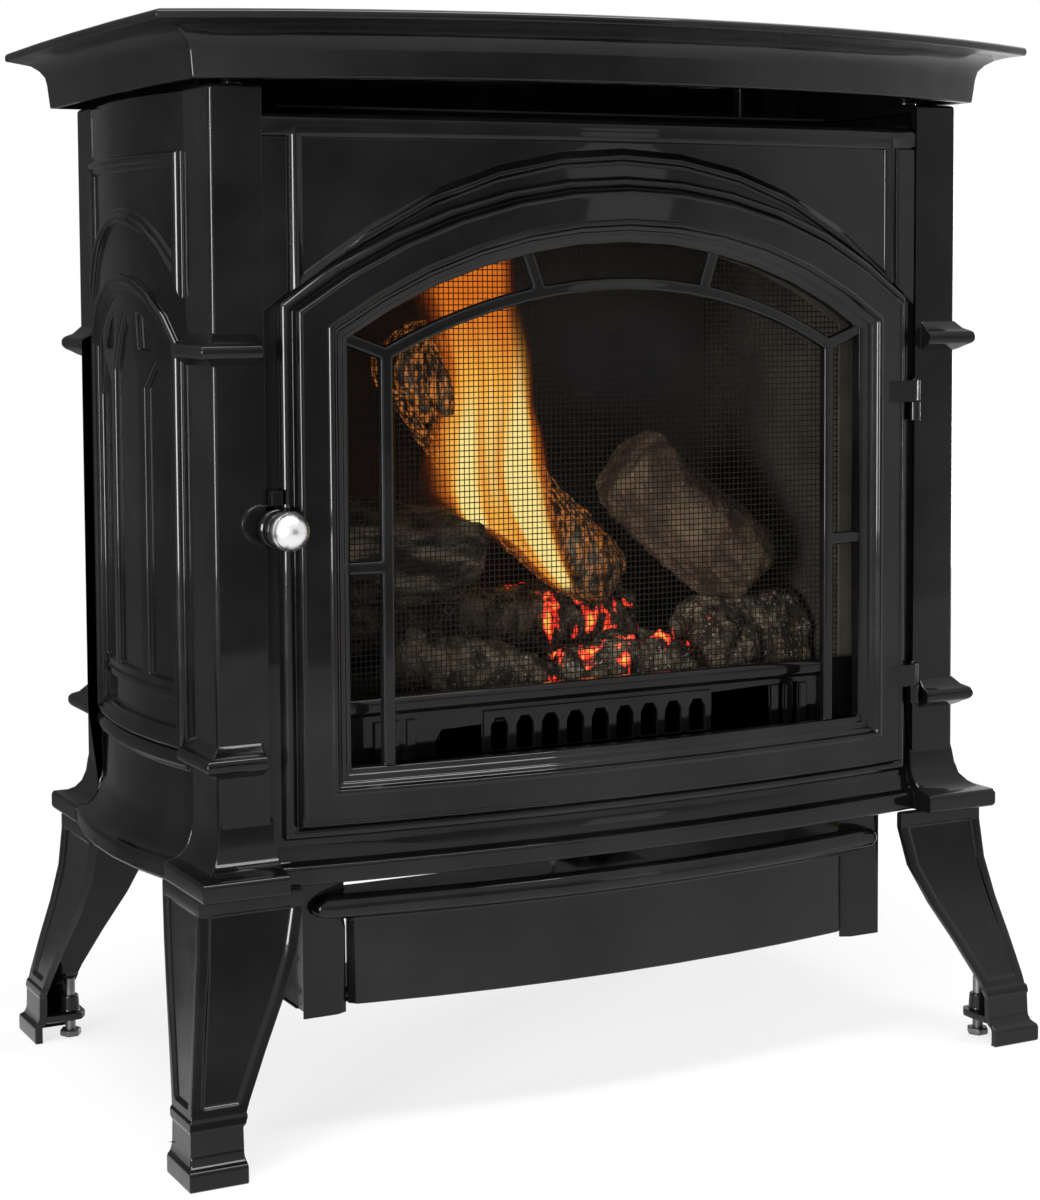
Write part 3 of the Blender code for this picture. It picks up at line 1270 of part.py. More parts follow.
def make_gas_train():
    """The control panel behind the cover, with the valve, its knob, the igniter, the regulator and the tubes."""
    floor = skirt_bottom + 0.0004 + steel + gap
    top = valve_z + 0.026
    knob_hole = disc(valve_x, valve_z, stem_radius + 0.0040)
    push_hole = disc(igniter_x, valve_z, button_radius + 0.0008)
    half = 0.115
    plate = slab([(-half, floor), (half, floor), (half, top), (-half, top)], [knob_hole, push_hole],
                 panel_y, panel_y + steel)
    foot = box((-half, half), (panel_y + 0.0004, panel_y + 0.018), (floor, floor + steel))
    piece("control_panel", combine(plate, [foot]), matt_black)
    back = panel_y + steel + gap
    block = box((valve_x - 0.024, valve_x + 0.024), (back, back + 0.048), (valve_z - 0.020, valve_z + 0.020))
    inlet = rod("x", (valve_x, back + 0.024, valve_z - 0.004), 0.020, 0.034, 0.0085, 12)
    outlet = rod("z", (valve_x, back + 0.034, valve_z), 0.015, 0.027, 0.0080, 12)
    cap = rod("x", (valve_x, back + 0.024, valve_z), -0.034, -0.020, 0.0110, 12)
    pilot_boss = rod("z", (valve_x - 0.014, back + 0.014, valve_z), 0.015, 0.026, 0.0045, 10)
    body_block = combine(block, [inlet, outlet, cap, pilot_boss])
    cut(body_block, [rod("y", (valve_x, back, valve_z), -0.002, 0.012, stem_radius + running_gap, shaft_sides)])
    piece("gas_valve", body_block, grey_alloy)
    knob = turn([(0.0, 0.0165), (-0.004, 0.0178), (-0.0150, 0.0165), (-0.0165, 0.0150)], "y",
                (valve_x, panel_y - gap, valve_z), 24)
    grip = box((valve_x - 0.0030, valve_x + 0.0030), (panel_y - 0.0240, panel_y - 0.012),
               (valve_z - 0.0140, valve_z + 0.0140))
    stem = rod("y", (valve_x, panel_y, valve_z), -0.002, 0.0105, stem_radius, shaft_sides)
    piece("control_knob", combine(knob, [grip, stem]), matt_black, (valve_x, panel_y, valve_z))
    igniter = turn([(0.0, 0.0100), (0.0060, 0.0100), (0.0062, 0.0082), (0.0340, 0.0082)], "y",
                   (igniter_x, back, valve_z), 16)
    cut(igniter, [rod("y", (igniter_x, back, valve_z), -0.002, 0.0140, button_radius + running_gap, shaft_sides)])
    piece("igniter_body", igniter, white_body)
    button = turn([(0.0100, button_radius), (-0.0100, button_radius), (-0.0112, button_radius - 0.0006)], "y",
                  (igniter_x, panel_y, valve_z), shaft_sides)
    piece("igniter_button", button, matt_black, (igniter_x, panel_y, valve_z))
    reg_x = valve_x + 0.034 + gap
    reg_y = back + 0.024
    regulator = turn([(0.0, 0.0080), (0.010, 0.0080), (0.0102, 0.0150), (0.0330, 0.0150), (0.0332, 0.0080),
                      (0.046, 0.0080)], "x", (reg_x, reg_y, valve_z - 0.004), 16)
    dome = turn([(0.0, 0.0160), (0.0100, 0.0160), (0.0150, 0.0120)], "z",
                (reg_x + 0.0215, reg_y, valve_z + 0.006), 16)
    piece("gas_regulator", combine(regulator, [dome]), grey_alloy)
    tube_start = reg_x + 0.046 + gap
    inlet_rear = rear_y - iron - 0.020
    run = rounded_path([(tube_start, reg_y, valve_z - 0.004), (tube_start + 0.045, reg_y, valve_z - 0.004),
                        (tube_start + 0.045, inlet_rear, valve_z - 0.004)], 0.022)
    line = pipe(run, 0.0060, 12)
    nut = rod("y", (tube_start + 0.045, inlet_rear, valve_z - 0.004), -0.014, 0.004, 0.0100, 6)
    piece("gas_inlet_tube", combine(line, [nut]), brass)
    rise = back + 0.034
    start_z = valve_z + 0.027 + gap
    bend_z = start_z + 0.014
    supply = rounded_path([(valve_x, rise, start_z), (valve_x, rise, bend_z), (throat_x, throat_y, bend_z),
                           (throat_x, throat_y, mixer_foot - 0.004)], 0.007)
    piece("supply_tube", pipe(supply, 0.0042, 8), copper)
    return back


def make_pilot(back):
    """The pilot burner at the tray's front, with its spark electrode, its heat sensor and its gas tube."""
    floor = box_floor + steel + gap
    x, y = pilot_at
    deck = floor + 0.0180
    stand = box((x - 0.016, x + 0.016), (y + 0.0045, y + 0.0060), (floor, floor + 0.034))
    shelf = box((x - 0.0155, x + 0.0155), (y - 0.0056, y + 0.0052), (deck, deck + 0.002))
    hood = turn([(deck - 0.004, 0.0042), (deck + 0.0120, 0.0042), (deck + 0.0150, 0.0052), (deck + 0.0165, 0.0052)],
                "z", (x, y, 0), 10)
    burner = combine(stand, [shelf, hood])
    side_holes = [rod("z", (x + offset, y, 0), deck - 0.004, deck + 0.004, radius + gap, 10)
                  for offset, radius in ((0.0105, 0.0026), (-0.0105, 0.0022))]
    feed_hole = rod("z", (x, y, 0), deck - 0.008, deck + 0.006, pilot_tube_radius + gap, 10)
    piece("pilot_burner", cut(burner, side_holes + [feed_hole]), zinc)
    electrode = turn([(deck - 0.008, 0.0026), (deck + 0.0025, 0.0026), (deck + 0.0026, 0.0034), (deck + 0.0120, 0.0030),
                      (deck + 0.0121, 0.0010), (deck + 0.0200, 0.0010)], "z", (x + 0.0105, y, 0), 10)
    piece("spark_electrode", electrode, white_body)
    sensor = turn([(deck - 0.010, 0.0022), (deck + 0.0025, 0.0022), (deck + 0.0026, 0.0032),
                   (deck + 0.0050, 0.0032), (deck + 0.0051, 0.0018), (deck + 0.0180, 0.0018),
                   (deck + 0.0195, 0.0010)], "z", (x - 0.0105, y, 0), 10)
    piece("flame_sensor", sensor, copper)
    start = (valve_x - 0.014, back + 0.014, valve_z + 0.026 + gap)
    low = start[2] + 0.008
    run = [start, (start[0], start[1], low), (x, y, low), (x, y, deck + 0.004)]
    piece("pilot_tube", pipe(rounded_path(run, 0.005, 3), pilot_tube_radius, 8), copper)


def build():
    make_mantel()
    make_front_frame()
    for side in (-1, 1):
        make_side_panel(side)
    make_door()
    for split, name in zip(hinge_splits, ("hinge_upper", "hinge_lower")):
        make_frame_hinge(name, split)
    make_knob()
    make_cam()
    make_stop()
    make_legs()
    make_bottom_plate()
    make_rear_panel()
    make_firebox()
    make_heat_baffle()
    make_fender()
    make_screen()
    make_logs(make_burner())
    make_cover()
    make_skirt()
    make_pilot(make_gas_train())


build()
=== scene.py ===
import json
import math

import bpy
from mathutils import Matrix, Vector


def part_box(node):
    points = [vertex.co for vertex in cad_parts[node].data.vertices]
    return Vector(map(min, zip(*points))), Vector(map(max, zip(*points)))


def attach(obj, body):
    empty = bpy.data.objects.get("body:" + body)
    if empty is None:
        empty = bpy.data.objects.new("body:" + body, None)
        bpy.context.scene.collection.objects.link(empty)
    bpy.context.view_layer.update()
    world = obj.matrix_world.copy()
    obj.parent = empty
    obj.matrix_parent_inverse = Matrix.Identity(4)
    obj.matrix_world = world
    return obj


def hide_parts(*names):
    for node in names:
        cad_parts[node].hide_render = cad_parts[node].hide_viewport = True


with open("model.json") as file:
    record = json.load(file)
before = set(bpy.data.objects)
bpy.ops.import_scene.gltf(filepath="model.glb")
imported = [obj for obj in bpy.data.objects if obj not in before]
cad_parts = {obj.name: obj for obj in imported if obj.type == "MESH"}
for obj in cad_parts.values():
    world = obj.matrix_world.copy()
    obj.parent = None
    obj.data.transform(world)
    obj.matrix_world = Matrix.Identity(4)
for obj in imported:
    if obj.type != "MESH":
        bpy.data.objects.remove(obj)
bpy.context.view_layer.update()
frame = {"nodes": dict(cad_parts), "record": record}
print("stage: part loaded,", len(frame["nodes"]), "nodes")


# Shader wiring

class Wire:
    # one output socket; plain arithmetic on it adds Math nodes
    def __init__(self, finish, socket):
        self.finish = finish
        self.socket = socket

    def math(self, kind, first, second):
        return self.finish.add("ShaderNodeMath", {"operation": kind}, {0: first, 1: second})

    def __add__(self, other):
        return self.math("ADD", self, other)

    def __radd__(self, other):
        return self.math("ADD", other, self)

    def __sub__(self, other):
        return self.math("SUBTRACT", self, other)

    def __rsub__(self, other):
        return self.math("SUBTRACT", other, self)

    def __mul__(self, other):
        return self.math("MULTIPLY", self, other)

    def __rmul__(self, other):
        return self.math("MULTIPLY", other, self)

    def __truediv__(self, other):
        return self.math("DIVIDE", self, other)

    def __pow__(self, other):
        return self.math("POWER", self, other)

    def __lt__(self, other):
        return self.math("LESS_THAN", self, other)

    def __mod__(self, other):
        return self.math("FLOORED_MODULO", self, other)

    def most(self, other):
        return self.math("MAXIMUM", self, other)

    def least(self, other):
        return self.math("MINIMUM", self, other)

    def size(self):
        return self.math("ABSOLUTE", self, 0.0)

    def ramp(self, low, high, start=0.0, end=1.0):
        return self.finish.add("ShaderNodeMapRange", {"interpolation_type": "SMOOTHSTEP"},
                               {0: self, 1: low, 2: high, 3: start, 4: end})


class Graph:
    # a node tree and the one method that adds its nodes
    def __init__(self, tree, output):
        self.tree = tree
        tree.nodes.clear()
        self.output = tree.nodes.new(output)

    def feed(self, socket, value):
        if isinstance(value, Wire):
            self.tree.links.new(value.socket, socket)
        else:
            socket.default_value = value

    def add(self, kind, settings=None, inputs=None, out=0):
        node = self.tree.nodes.new(kind)
        for key, value in (settings or {}).items():
            if key == "stops":
                while len(node.color_ramp.elements) < len(value):
                    node.color_ramp.elements.new(0.5)
                for element, (place, colour) in zip(node.color_ramp.elements, value):
                    element.position = place
                    element.color = (*colour, 1.0)
            else:
                setattr(node, key, value)
        for key, value in (inputs or {}).items():
            self.feed(node.inputs[key], value)
        return Wire(self, node.outputs[out])


class Finish(Graph):
    # a material built round one principled surface
    def __init__(self, name, **fixed):
        self.material = bpy.data.materials.new(name)
        self.material.use_nodes = True
        super().__init__(self.material.node_tree, "ShaderNodeOutputMaterial")
        self.surface = self.add("ShaderNodeBsdfPrincipled")
        self.feed(self.output.inputs[0], self.surface)
        self.paint(**fixed)

    def paint(self, **values):
        names = {"colour": "Base Color", "roughness": "Roughness", "metallic": "Metallic", "alpha": "Alpha",
                 "coat": "Coat Weight", "coatRoughness": "Coat Roughness", "glow": "Emission Color",
                 "glowStrength": "Emission Strength", "specular": "Specular IOR Level", "normal": "Normal"}
        for key, value in values.items():
            if isinstance(value, tuple) and len(value) == 3:
                value = (*value, 1.0)
            self.feed(self.surface.socket.node.inputs[names[key]], value)

    def place(self, stretch=(1, 1, 1), turn=(0, 0, 0)):
        where = self.add("ShaderNodeTexCoord", out="Object")
        return self.add("ShaderNodeMapping", None, {"Vector": where, "Rotation": turn, "Scale": stretch})

    def axes(self, kind="Object"):
        where = self.add("ShaderNodeTexCoord", out=kind)
        return [self.add("ShaderNodeSeparateXYZ", None, {0: where}, out=axis) for axis in "XYZ"]

    def noise(self, scale, detail=3.0, rough=0.5, where=None, twist=0.0):
        return self.add("ShaderNodeTexNoise", None,
                        {"Vector": where or self.place(), "Scale": scale, "Detail": detail,
                         "Roughness": rough, "Distortion": twist})

    def blend(self, share, low, high):
        return self.add("ShaderNodeMix", {"data_type": "RGBA"},
                        {"Factor": share, 6: low if isinstance(low, Wire) else (*low, 1.0),
                         7: high if isinstance(high, Wire) else (*high, 1.0)}, out=2)

    def relief(self, height, depth, under=None):
        inputs = {"Height": height, "Distance": depth, "Strength": 1.0}
        if under:
            inputs["Normal"] = under
        return self.add("ShaderNodeBump", None, inputs)


# Finishes

enamelSettings = {"dark": (0.0025, 0.0025, 0.0028), "pale": (0.0070, 0.0070, 0.0074),
                  "specular": 0.07, "coat": 0.40, "coatRoughness": 0.04,
                  "cloud": 9.0, "fine": 70.0, "roughness": (0.10, 0.16, 0.06),
                  "wave": 34.0, "waveDepth": 0.00060, "peel": 320.0, "peelDepth": 0.00004}


def makeEnamel(name="blackEnamel", settings=enamelSettings):
    finish = Finish(name, specular=settings["specular"], coatRoughness=settings["coatRoughness"])
    cloud = finish.noise(settings["cloud"], 4.0, 0.6)
    fine = finish.noise(settings["fine"], 3.0)
    least, cloudy, grainy = settings["roughness"]
    finish.paint(colour=finish.blend(cloud.ramp(0.35, 0.7), settings["dark"], settings["pale"]),
                 roughness=least + cloudy * cloud.ramp(0.38, 0.68) + grainy * fine)
    wave = finish.relief(finish.noise(settings["wave"], 2.0), settings["waveDepth"])
    peel = finish.relief(finish.noise(settings["peel"], 1.0), settings["peelDepth"], wave)
    finish.paint(normal=peel, coat=settings["coat"])
    return finish.material


paintSettings = {"specular": 0.35, "cloud": 12.0, "mottle": 0.14, "grain": 900.0, "grainDepth": 0.00012}


def makeSheetPaint(name, dark, pale, gloss, settings=paintSettings):
    finish = Finish(name, specular=settings["specular"])
    cloud = finish.noise(settings["cloud"], 4.0, 0.6)
    grain = finish.noise(settings["grain"], 2.0)
    finish.paint(colour=finish.blend(cloud.ramp(0.3, 0.7), dark, pale),
                 roughness=gloss + settings["mottle"] * cloud,
                 normal=finish.relief(grain, settings["grainDepth"]))
    return finish.material


metalSettings = {"grain": 260.0, "streaky": 0.12, "cloud": 30.0, "mottle": 0.08}


def makeMetal(name, dark, pale, gloss, depth=0.00004, settings=metalSettings):
    finish = Finish(name, metallic=1.0)
    streak = finish.noise(settings["grain"], 3.0, 0.6)
    cloud = finish.noise(settings["cloud"], 3.0)
    finish.paint(colour=finish.blend(cloud.ramp(0.3, 0.7), dark, pale),
                 roughness=gloss + settings["streaky"] * streak + settings["mottle"] * cloud,
                 normal=finish.relief(streak, depth))
    return finish.material


plasticSettings = {"specular": 0.4, "cloud": 40.0, "grain": 1400.0, "grainDepth": 0.00008, "grainy": 0.15}


def makePlastic(name, dark, pale, gloss, settings=plasticSettings):
    finish = Finish(name, specular=settings["specular"])
    grain = finish.noise(settings["grain"], 2.0)
    finish.paint(colour=finish.blend(finish.noise(settings["cloud"]), dark, pale),
                 roughness=gloss + settings["grainy"] * grain,
                 normal=finish.relief(grain, settings["grainDepth"]))
    return finish.material


barkSettings = {"char": (0.020, 0.017, 0.012), "ash": (0.220, 0.180, 0.120), "rust": (0.26, 0.125, 0.055),
                "fleck": (0.62, 0.56, 0.46)}
brownSettings = {"char": (0.050, 0.030, 0.020), "ash": (0.160, 0.112, 0.072), "rust": (0.18, 0.100, 0.052),
                 "fleck": (0.40, 0.34, 0.26)}


barkGrain = {"specular": 0.15, "furrow": 70.0, "furrowDepth": 0.006, "scale": 260.0, "scaleDepth": 0.0015,
             "fleck": 330.0, "roughness": (0.72, 0.2)}


def makeBark(name, stretch, turn, rust, flecks=0.0, glow=None, settings=barkSettings, grain=barkGrain):
    finish = Finish(name, specular=grain["specular"])
    along = finish.place(stretch, turn)
    furrow = finish.noise(grain["furrow"], 5.0, 0.65, along, 0.4)
    scale = finish.noise(grain["scale"], 4.0, 0.6, along)
    bark = finish.blend(furrow.ramp(0.42, 0.66), settings["char"], settings["ash"])
    bark = finish.blend(scale.ramp(0.5, 0.75) * rust, bark, settings["rust"])
    bark = finish.blend(finish.noise(grain["fleck"], 2.0).ramp(0.60, 0.70) * flecks, bark, settings["fleck"])
    finish.paint(colour=bark, roughness=grain["roughness"][0] + grain["roughness"][1] * scale)
    coarse = finish.relief(furrow, grain["furrowDepth"])
    finish.paint(normal=finish.relief(scale, grain["scaleDepth"], coarse))
    if glow:
        x, y, z = finish.axes()
        place, reach = glow["place"], glow["reach"]
        away = (x - place[0]) ** 2.0 / reach[0] ** 2 + (z - place[1]) ** 2.0 / reach[1] ** 2
        near = away.ramp(1.0, 0.0)
        # painted firelight for the lit kind: a patch of the flame's light given as glow; the ember kind is the
        # embers' own glow
        if glow["kind"] == "lit":
            light = finish.blend(near * scale.ramp(0.44, 0.66), (0.0, 0.0, 0.0), glow["colour"])
        else:
            light = emberLight(finish, near)
        finish.paint(glow=light, glowStrength=glow["strength"])
    return finish.material


emberSettings = {"red": (0.85, 0.030, 0.014), "hot": (1.0, 0.42, 0.06), "across": 88.0, "up": 0.36,
                 "glowing": (0.55, 0.615), "hottest": (0.63, 0.71), "middle": 0.45, "rim": 0.10}


def emberLight(finish, near, settings=emberSettings):
    # short upright streaks of red, yellow where they are thickest
    streak = finish.noise(settings["across"], 3.0, 0.55, finish.place((1.0, 1.0, settings["up"])), 0.3)
    middle = settings["middle"]
    heat = streak * (1.0 - middle + middle * near) - (1.0 - near) * settings["rim"]
    glow = finish.blend(heat.ramp(*settings["hottest"]), settings["red"], settings["hot"])
    return finish.blend(heat.ramp(*settings["glowing"]), (0.0, 0.0, 0.0), glow)


meshSettings = {"across": 0.00384, "up": 0.0041, "wire": 0.00078, "wander": 0.0010, "specular": 0.08,
                "dark": (0.004, 0.0038, 0.003), "pale": (0.014, 0.013, 0.010)}


def makeWireMesh(name="screenWire", settings=meshSettings):
    finish = Finish(name, specular=settings["specular"])
    x, y, z = finish.axes()
    wander = finish.noise(16.0, 2.0) * settings["wander"]

    def wires(along, pitch):
        # solid for one wire's width in every pitch
        return (((along + wander) / pitch) % 1.0 - 0.5).size() < settings["wire"] / pitch / 2

    finish.paint(colour=finish.blend(finish.noise(50.0), settings["dark"], settings["pale"]),
                 roughness=0.5 + 0.2 * finish.noise(200.0),
                 alpha=wires(x, settings["across"]).most(wires(z, settings["up"])))
    return finish.material


flameSettings = {"rim": (0.25, 0.030, 0.002), "orange": (0.72, 0.17, 0.014), "yellow": (1.0, 0.48, 0.06),
                 "white": (1.0, 0.80, 0.28), "strength": 1.0, "drift": (3.4, 1.1, 1.0),
                 "streaks": (7.0, 1.0, 1.0), "streaky": 0.55, "footTop": 0.42}


def makeFlame(name, spec, settings=flameSettings):
    # light that is strongest in the middle of the sheet and thins out in ragged streaks
    finish = Finish(name, colour=(0.0, 0.0, 0.0), specular=0.0, roughness=1.0,
                    glowStrength=settings["strength"])
    across, up, _ = finish.axes("UV")
    where = finish.add("ShaderNodeTexCoord", out="UV")
    seed = spec["seed"]
    drift = finish.add("ShaderNodeMapping", None,
                       {"Vector": where, "Location": (seed, seed * 0.7, 0.0), "Scale": settings["drift"]})
    lick = finish.noise(1.6, 4.0, 0.55, drift, 0.5)
    streak = finish.add("ShaderNodeMapping", None,
                        {"Vector": where, "Location": (seed * 2.0, 0.0, 0.0), "Scale": settings["streaks"]})
    line = finish.noise(2.0, 3.0, 0.5, streak)
    side = 1.0 - (across * 2.0 - 1.0).size()
    body = (side + (lick - 0.5) * spec["ragged"]).ramp(0.0, spec["soft"])
    lift = up.ramp(*spec["warm"], spec["top"], 1.0) * up.ramp(0.0, settings["footTop"], spec["foot"], 1.0)
    heat = (body * spec["hot"] + (line - 0.5) * settings["streaky"]) * lift
    stops = [(0.05, settings["rim"]), (0.40, settings["orange"]), (0.72, settings["yellow"]),
             (1.0, settings["white"])]
    glow = finish.add("ShaderNodeValToRGB", {"stops": stops}, {0: heat})
    fade = up.ramp(0.0, 0.05) * up.ramp(1.0, spec["tip"])
    finish.paint(glow=glow, alpha=(body * fade * spec["strong"]).least(1.0))
    return finish.material


enamel = makeEnamel()
sheetBlack = makeSheetPaint("sheetPaint", (0.0045, 0.0045, 0.0045), (0.012, 0.012, 0.012), 0.42)
heatPaint = makeSheetPaint("heatPaint", (0.022, 0.0200, 0.0140), (0.050, 0.044, 0.031), 0.62)
nickel = makeMetal("brushedNickel", (0.62, 0.61, 0.60), (0.82, 0.82, 0.82), 0.16)
steel = makeMetal("platedSteel", (0.34, 0.34, 0.34), (0.56, 0.56, 0.55), 0.28)
zincCast = makeMetal("zincCasting", (0.36, 0.37, 0.38), (0.52, 0.53, 0.54), 0.38, depth=0.0001)
alloy = makeMetal("tubeAlloy", (0.60, 0.61, 0.62), (0.78, 0.79, 0.80), 0.25)
boltSteel = makeMetal("boltSteel", (0.10, 0.10, 0.10), (0.22, 0.22, 0.21), 0.34)
brass = makeMetal("brass", (0.50, 0.34, 0.13), (0.70, 0.50, 0.22), 0.24)
plastic = makePlastic("blackPlastic", (0.008, 0.008, 0.008), (0.016, 0.016, 0.016), 0.38)
ceramic = makePlastic("whiteCeramic", (0.66, 0.64, 0.60), (0.80, 0.78, 0.74), 0.35)
wireMesh = makeWireMesh()
print("stage: finishes made")


# Castings: a merged copy of each solid, with its edges softened as poured iron and enamel soften them

def pick(item):
    bpy.ops.object.select_all(action="DESELECT")
    item.select_set(True)
    bpy.context.view_layer.objects.active = item


edgeRoom = 0.42  # of the shortest edge at a corner
castSoften = {"limit": 28, "smooth": 40}
fittingSoften = {"limit": 30, "smooth": 42}


def weighEdges(mesh, rim, limit):
    # each sharp edge is given the share of the rim that the edges beside it leave room for
    corners = mesh.vertices
    room = [rim] * len(corners)
    sides = {}
    for face in mesh.polygons:
        for key in face.edge_keys:
            sides.setdefault(key, []).append(face.normal)
    for edge in mesh.edges:
        length = (corners[edge.vertices[0]].co - corners[edge.vertices[1]].co).length
        for corner in edge.vertices:
            room[corner] = min(room[corner], length * edgeRoom)
    weights = mesh.attributes.new("bevel_weight_edge", "FLOAT", "EDGE")
    for edge, weight in zip(mesh.edges, weights.data):
        normals = sides[tuple(sorted(edge.vertices))]
        if len(normals) == 2 and normals[0].angle(normals[1], 0.0) > math.radians(limit):
            weight.value = min(room[corner] for corner in edge.vertices) / rim


def finishEdges(item, rim, limit, smooth):
    pick(item)
    if rim:
        weighEdges(item.data, rim, limit)
        soften = item.modifiers.new("soften", "BEVEL")
        soften.width = rim
        soften.segments = 2
        soften.limit_method = "WEIGHT"
        soften.use_clamp_overlap = False
        soften.miter_outer = "MITER_ARC"
        bpy.ops.object.modifier_apply(modifier=soften.name)
    bpy.ops.object.shade_smooth_by_angle(angle=math.radians(smooth))
    weigh = item.modifiers.new("weigh", "WEIGHTED_NORMAL")
    weigh.keep_sharp = True
    bpy.ops.object.modifier_apply(modifier=weigh.name)


def mergedCopy(nodeName, flat=0.4):
    # a copy of the solid's mesh with its triangles joined, and its flat faces made one within flat degrees
    mesh = frame["nodes"][nodeName].data.copy()
    item = bpy.data.objects.new(nodeName + "_finished", mesh)
    bpy.context.scene.collection.objects.link(item)
    pick(item)
    bpy.ops.object.mode_set(mode="EDIT")
    bpy.ops.mesh.select_all(action="SELECT")
    bpy.ops.mesh.customdata_custom_splitnormals_clear()
    bpy.ops.mesh.remove_doubles(threshold=0.00001)
    bpy.ops.mesh.mark_sharp(clear=True)
    if flat:
        bpy.ops.mesh.dissolve_limited(angle_limit=math.radians(flat))
    bpy.ops.object.mode_set(mode="OBJECT")
    return item


def dress(item, nodeName, material):
    item.data.materials.clear()
    item.data.materials.append(material)
    for face in item.data.polygons:
        face.material_index = 0
    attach(item, bodyOf[nodeName])
    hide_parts(nodeName)
    return item


bodyOf = {}
for bodyName, spec in frame["record"]["behaviour"]["bodies"].items():
    for nodeName in spec if isinstance(spec, list) else spec.get("nodes", []):
        bodyOf[nodeName] = bodyName

# how wide each casting's edges are softened
castings = {
    "mantel_top": 0.0022, "front_frame": 0.0018, "side_panel_left": 0.0016, "side_panel_right": 0.0016,
    "door": 0.0018, "leg_front_left": 0.0018, "leg_front_right": 0.0018, "leg_rear_left": 0.0018,
    "leg_rear_right": 0.0018, "hinge_lower": 0.0009, "hinge_upper": 0.0009, "control_cover": 0.0014,
    "skirt_pan": 0.0005, "fender": 0.0010, "latch_stop": 0.0009}
for nodeName, rim in castings.items():
    cast = mergedCopy(nodeName)
    finishEdges(cast, rim, **castSoften)
    dress(cast, nodeName, enamel)
print("stage: castings finished")

# material and edge softening of each
fittings = {
    "door_knob": (nickel, 0.0004), "latch_cam": (zincCast, 0.0003),
    "control_knob": (plastic, 0.0004), "igniter_button": (plastic, 0.0003), "igniter_body": (plastic, 0.0003),
    "leveler_front_left": (boltSteel, 0.0003), "leveler_front_right": (boltSteel, 0.0003),
    "leveler_rear_left": (boltSteel, 0.0003), "leveler_rear_right": (boltSteel, 0.0003),
    "cover_pin_left": (steel, 0.0), "cover_pin_right": (steel, 0.0),
    "gas_valve": (zincCast, 0.0006), "gas_regulator": (zincCast, 0.0006),
    "gas_inlet_tube": (brass, 0.0), "supply_tube": (alloy, 0.0), "pilot_tube": (alloy, 0.0),
    "mixing_tube": (steel, 0.0), "pilot_burner": (steel, 0.0003), "spark_electrode": (ceramic, 0.0),
    "flame_sensor": (steel, 0.0), "burner_tray": (heatPaint, 0.0004)}
for nodeName, (material, rim) in fittings.items():
    part = mergedCopy(nodeName)
    finishEdges(part, rim, **fittingSoften)
    dress(part, nodeName, material)

sheets = {"bottom_plate": sheetBlack, "rear_panel": sheetBlack, "firebox": heatPaint, "heat_baffle": heatPaint,
          "screen_surround": heatPaint, "log_shelf": heatPaint, "control_panel": sheetBlack}
for nodeName, material in sheets.items():
    for slot in frame["nodes"][nodeName].material_slots:
        slot.material = material
print("stage: fittings and sheets finished")


# Logs

# painted firelight: the leaning log's bark glows orange where the flame beside it would light it
fireLight = {"kind": "lit", "place": (-0.03, 0.46), "reach": (0.17, 0.20), "colour": (1.0, 0.30, 0.05),
             "strength": 0.50}
frontEmbers = {"kind": "ember", "place": (0.045, 0.322), "reach": (0.150, 0.085), "strength": 1.5}
rearEmbers = {"kind": "ember", "place": (0.060, 0.330), "reach": (0.130, 0.060), "strength": 1.2}
logSettings = {
    "log_rear": {"stretch": (1, 1, 0.5), "turn": (0, 0, 0), "rust": 0.25, "lump": 0.008, "swell": 0.004,
                 "flecks": 0.4, "glow": rearEmbers},
    "log_left": {"stretch": (0.4, 1, 1), "turn": (0, 0.4, 0), "rust": 0.10, "lump": 0.004, "swell": 0.002},
    "log_leaning": {"stretch": (1, 1, 0.35), "turn": (0, 0.75, 0), "rust": 1.0, "lump": 0.008, "swell": 0.013,
                    "glow": fireLight},
    "log_front_right": {"stretch": (1, 1, 0.5), "turn": (0, 0, 0), "rust": 0.5, "lump": 0.010, "swell": 0.005,
                        "flecks": 0.5, "glow": frontEmbers},
    "log_right": {"stretch": (0.4, 1, 0.4), "turn": (0, -0.8, 0), "rust": 0.8, "lump": 0.005, "swell": 0.002,
                  "paints": brownSettings},
    "log_front_left": {"stretch": (1, 1, 0.5), "turn": (0, 0, 0), "rust": 0.3, "lump": 0.008, "swell": 0.005,
                       "flecks": 0.5, "glow": frontEmbers},
    "ember_bed": {"stretch": (1, 1, 0.5), "turn": (0, 0, 0), "rust": 0.3, "lump": 0.016, "swell": 0.009,
                  "flecks": 0.6, "glow": frontEmbers},
}


logMesh = {"levels": 3, "lumps": 0.012, "detail": 4, "level": 0.6}


def roughen(item, lump, swell, settings=logMesh):
    # the solid's few faces are rounded, grown and pushed about by clouds
    pick(item)
    fine = item.modifiers.new("fine", "SUBSURF")
    fine.levels = settings["levels"]
    fine.render_levels = settings["levels"]
    bpy.ops.object.modifier_apply(modifier=fine.name)
    grow = item.modifiers.new("grow", "DISPLACE")
    grow.strength = swell
    grow.mid_level = 0.0
    bpy.ops.object.modifier_apply(modifier=grow.name)
    cloud = bpy.data.textures.new(item.name + "_lumps", "CLOUDS")
    cloud.noise_scale = settings["lumps"]
    cloud.noise_depth = settings["detail"]
    push = item.modifiers.new("push", "DISPLACE")
    push.texture = cloud
    push.texture_coords = "LOCAL"
    push.strength = lump
    push.mid_level = settings["level"]
    bpy.ops.object.modifier_apply(modifier=push.name)
    bpy.ops.object.shade_smooth()


for nodeName, spec in logSettings.items():
    log = mergedCopy(nodeName, flat=0)
    roughen(log, spec["lump"], spec["swell"])
    dress(log, nodeName, makeBark(nodeName + "_bark", spec["stretch"], spec["turn"], spec["rust"],
                                  spec.get("flecks", 0.0), spec.get("glow"), spec.get("paints", barkSettings)))
print("stage: logs finished")


# Woven screen: one arched sheet, its holes cut by the finish

screenSettings = {"columns": 28, "margin": 0.0015}


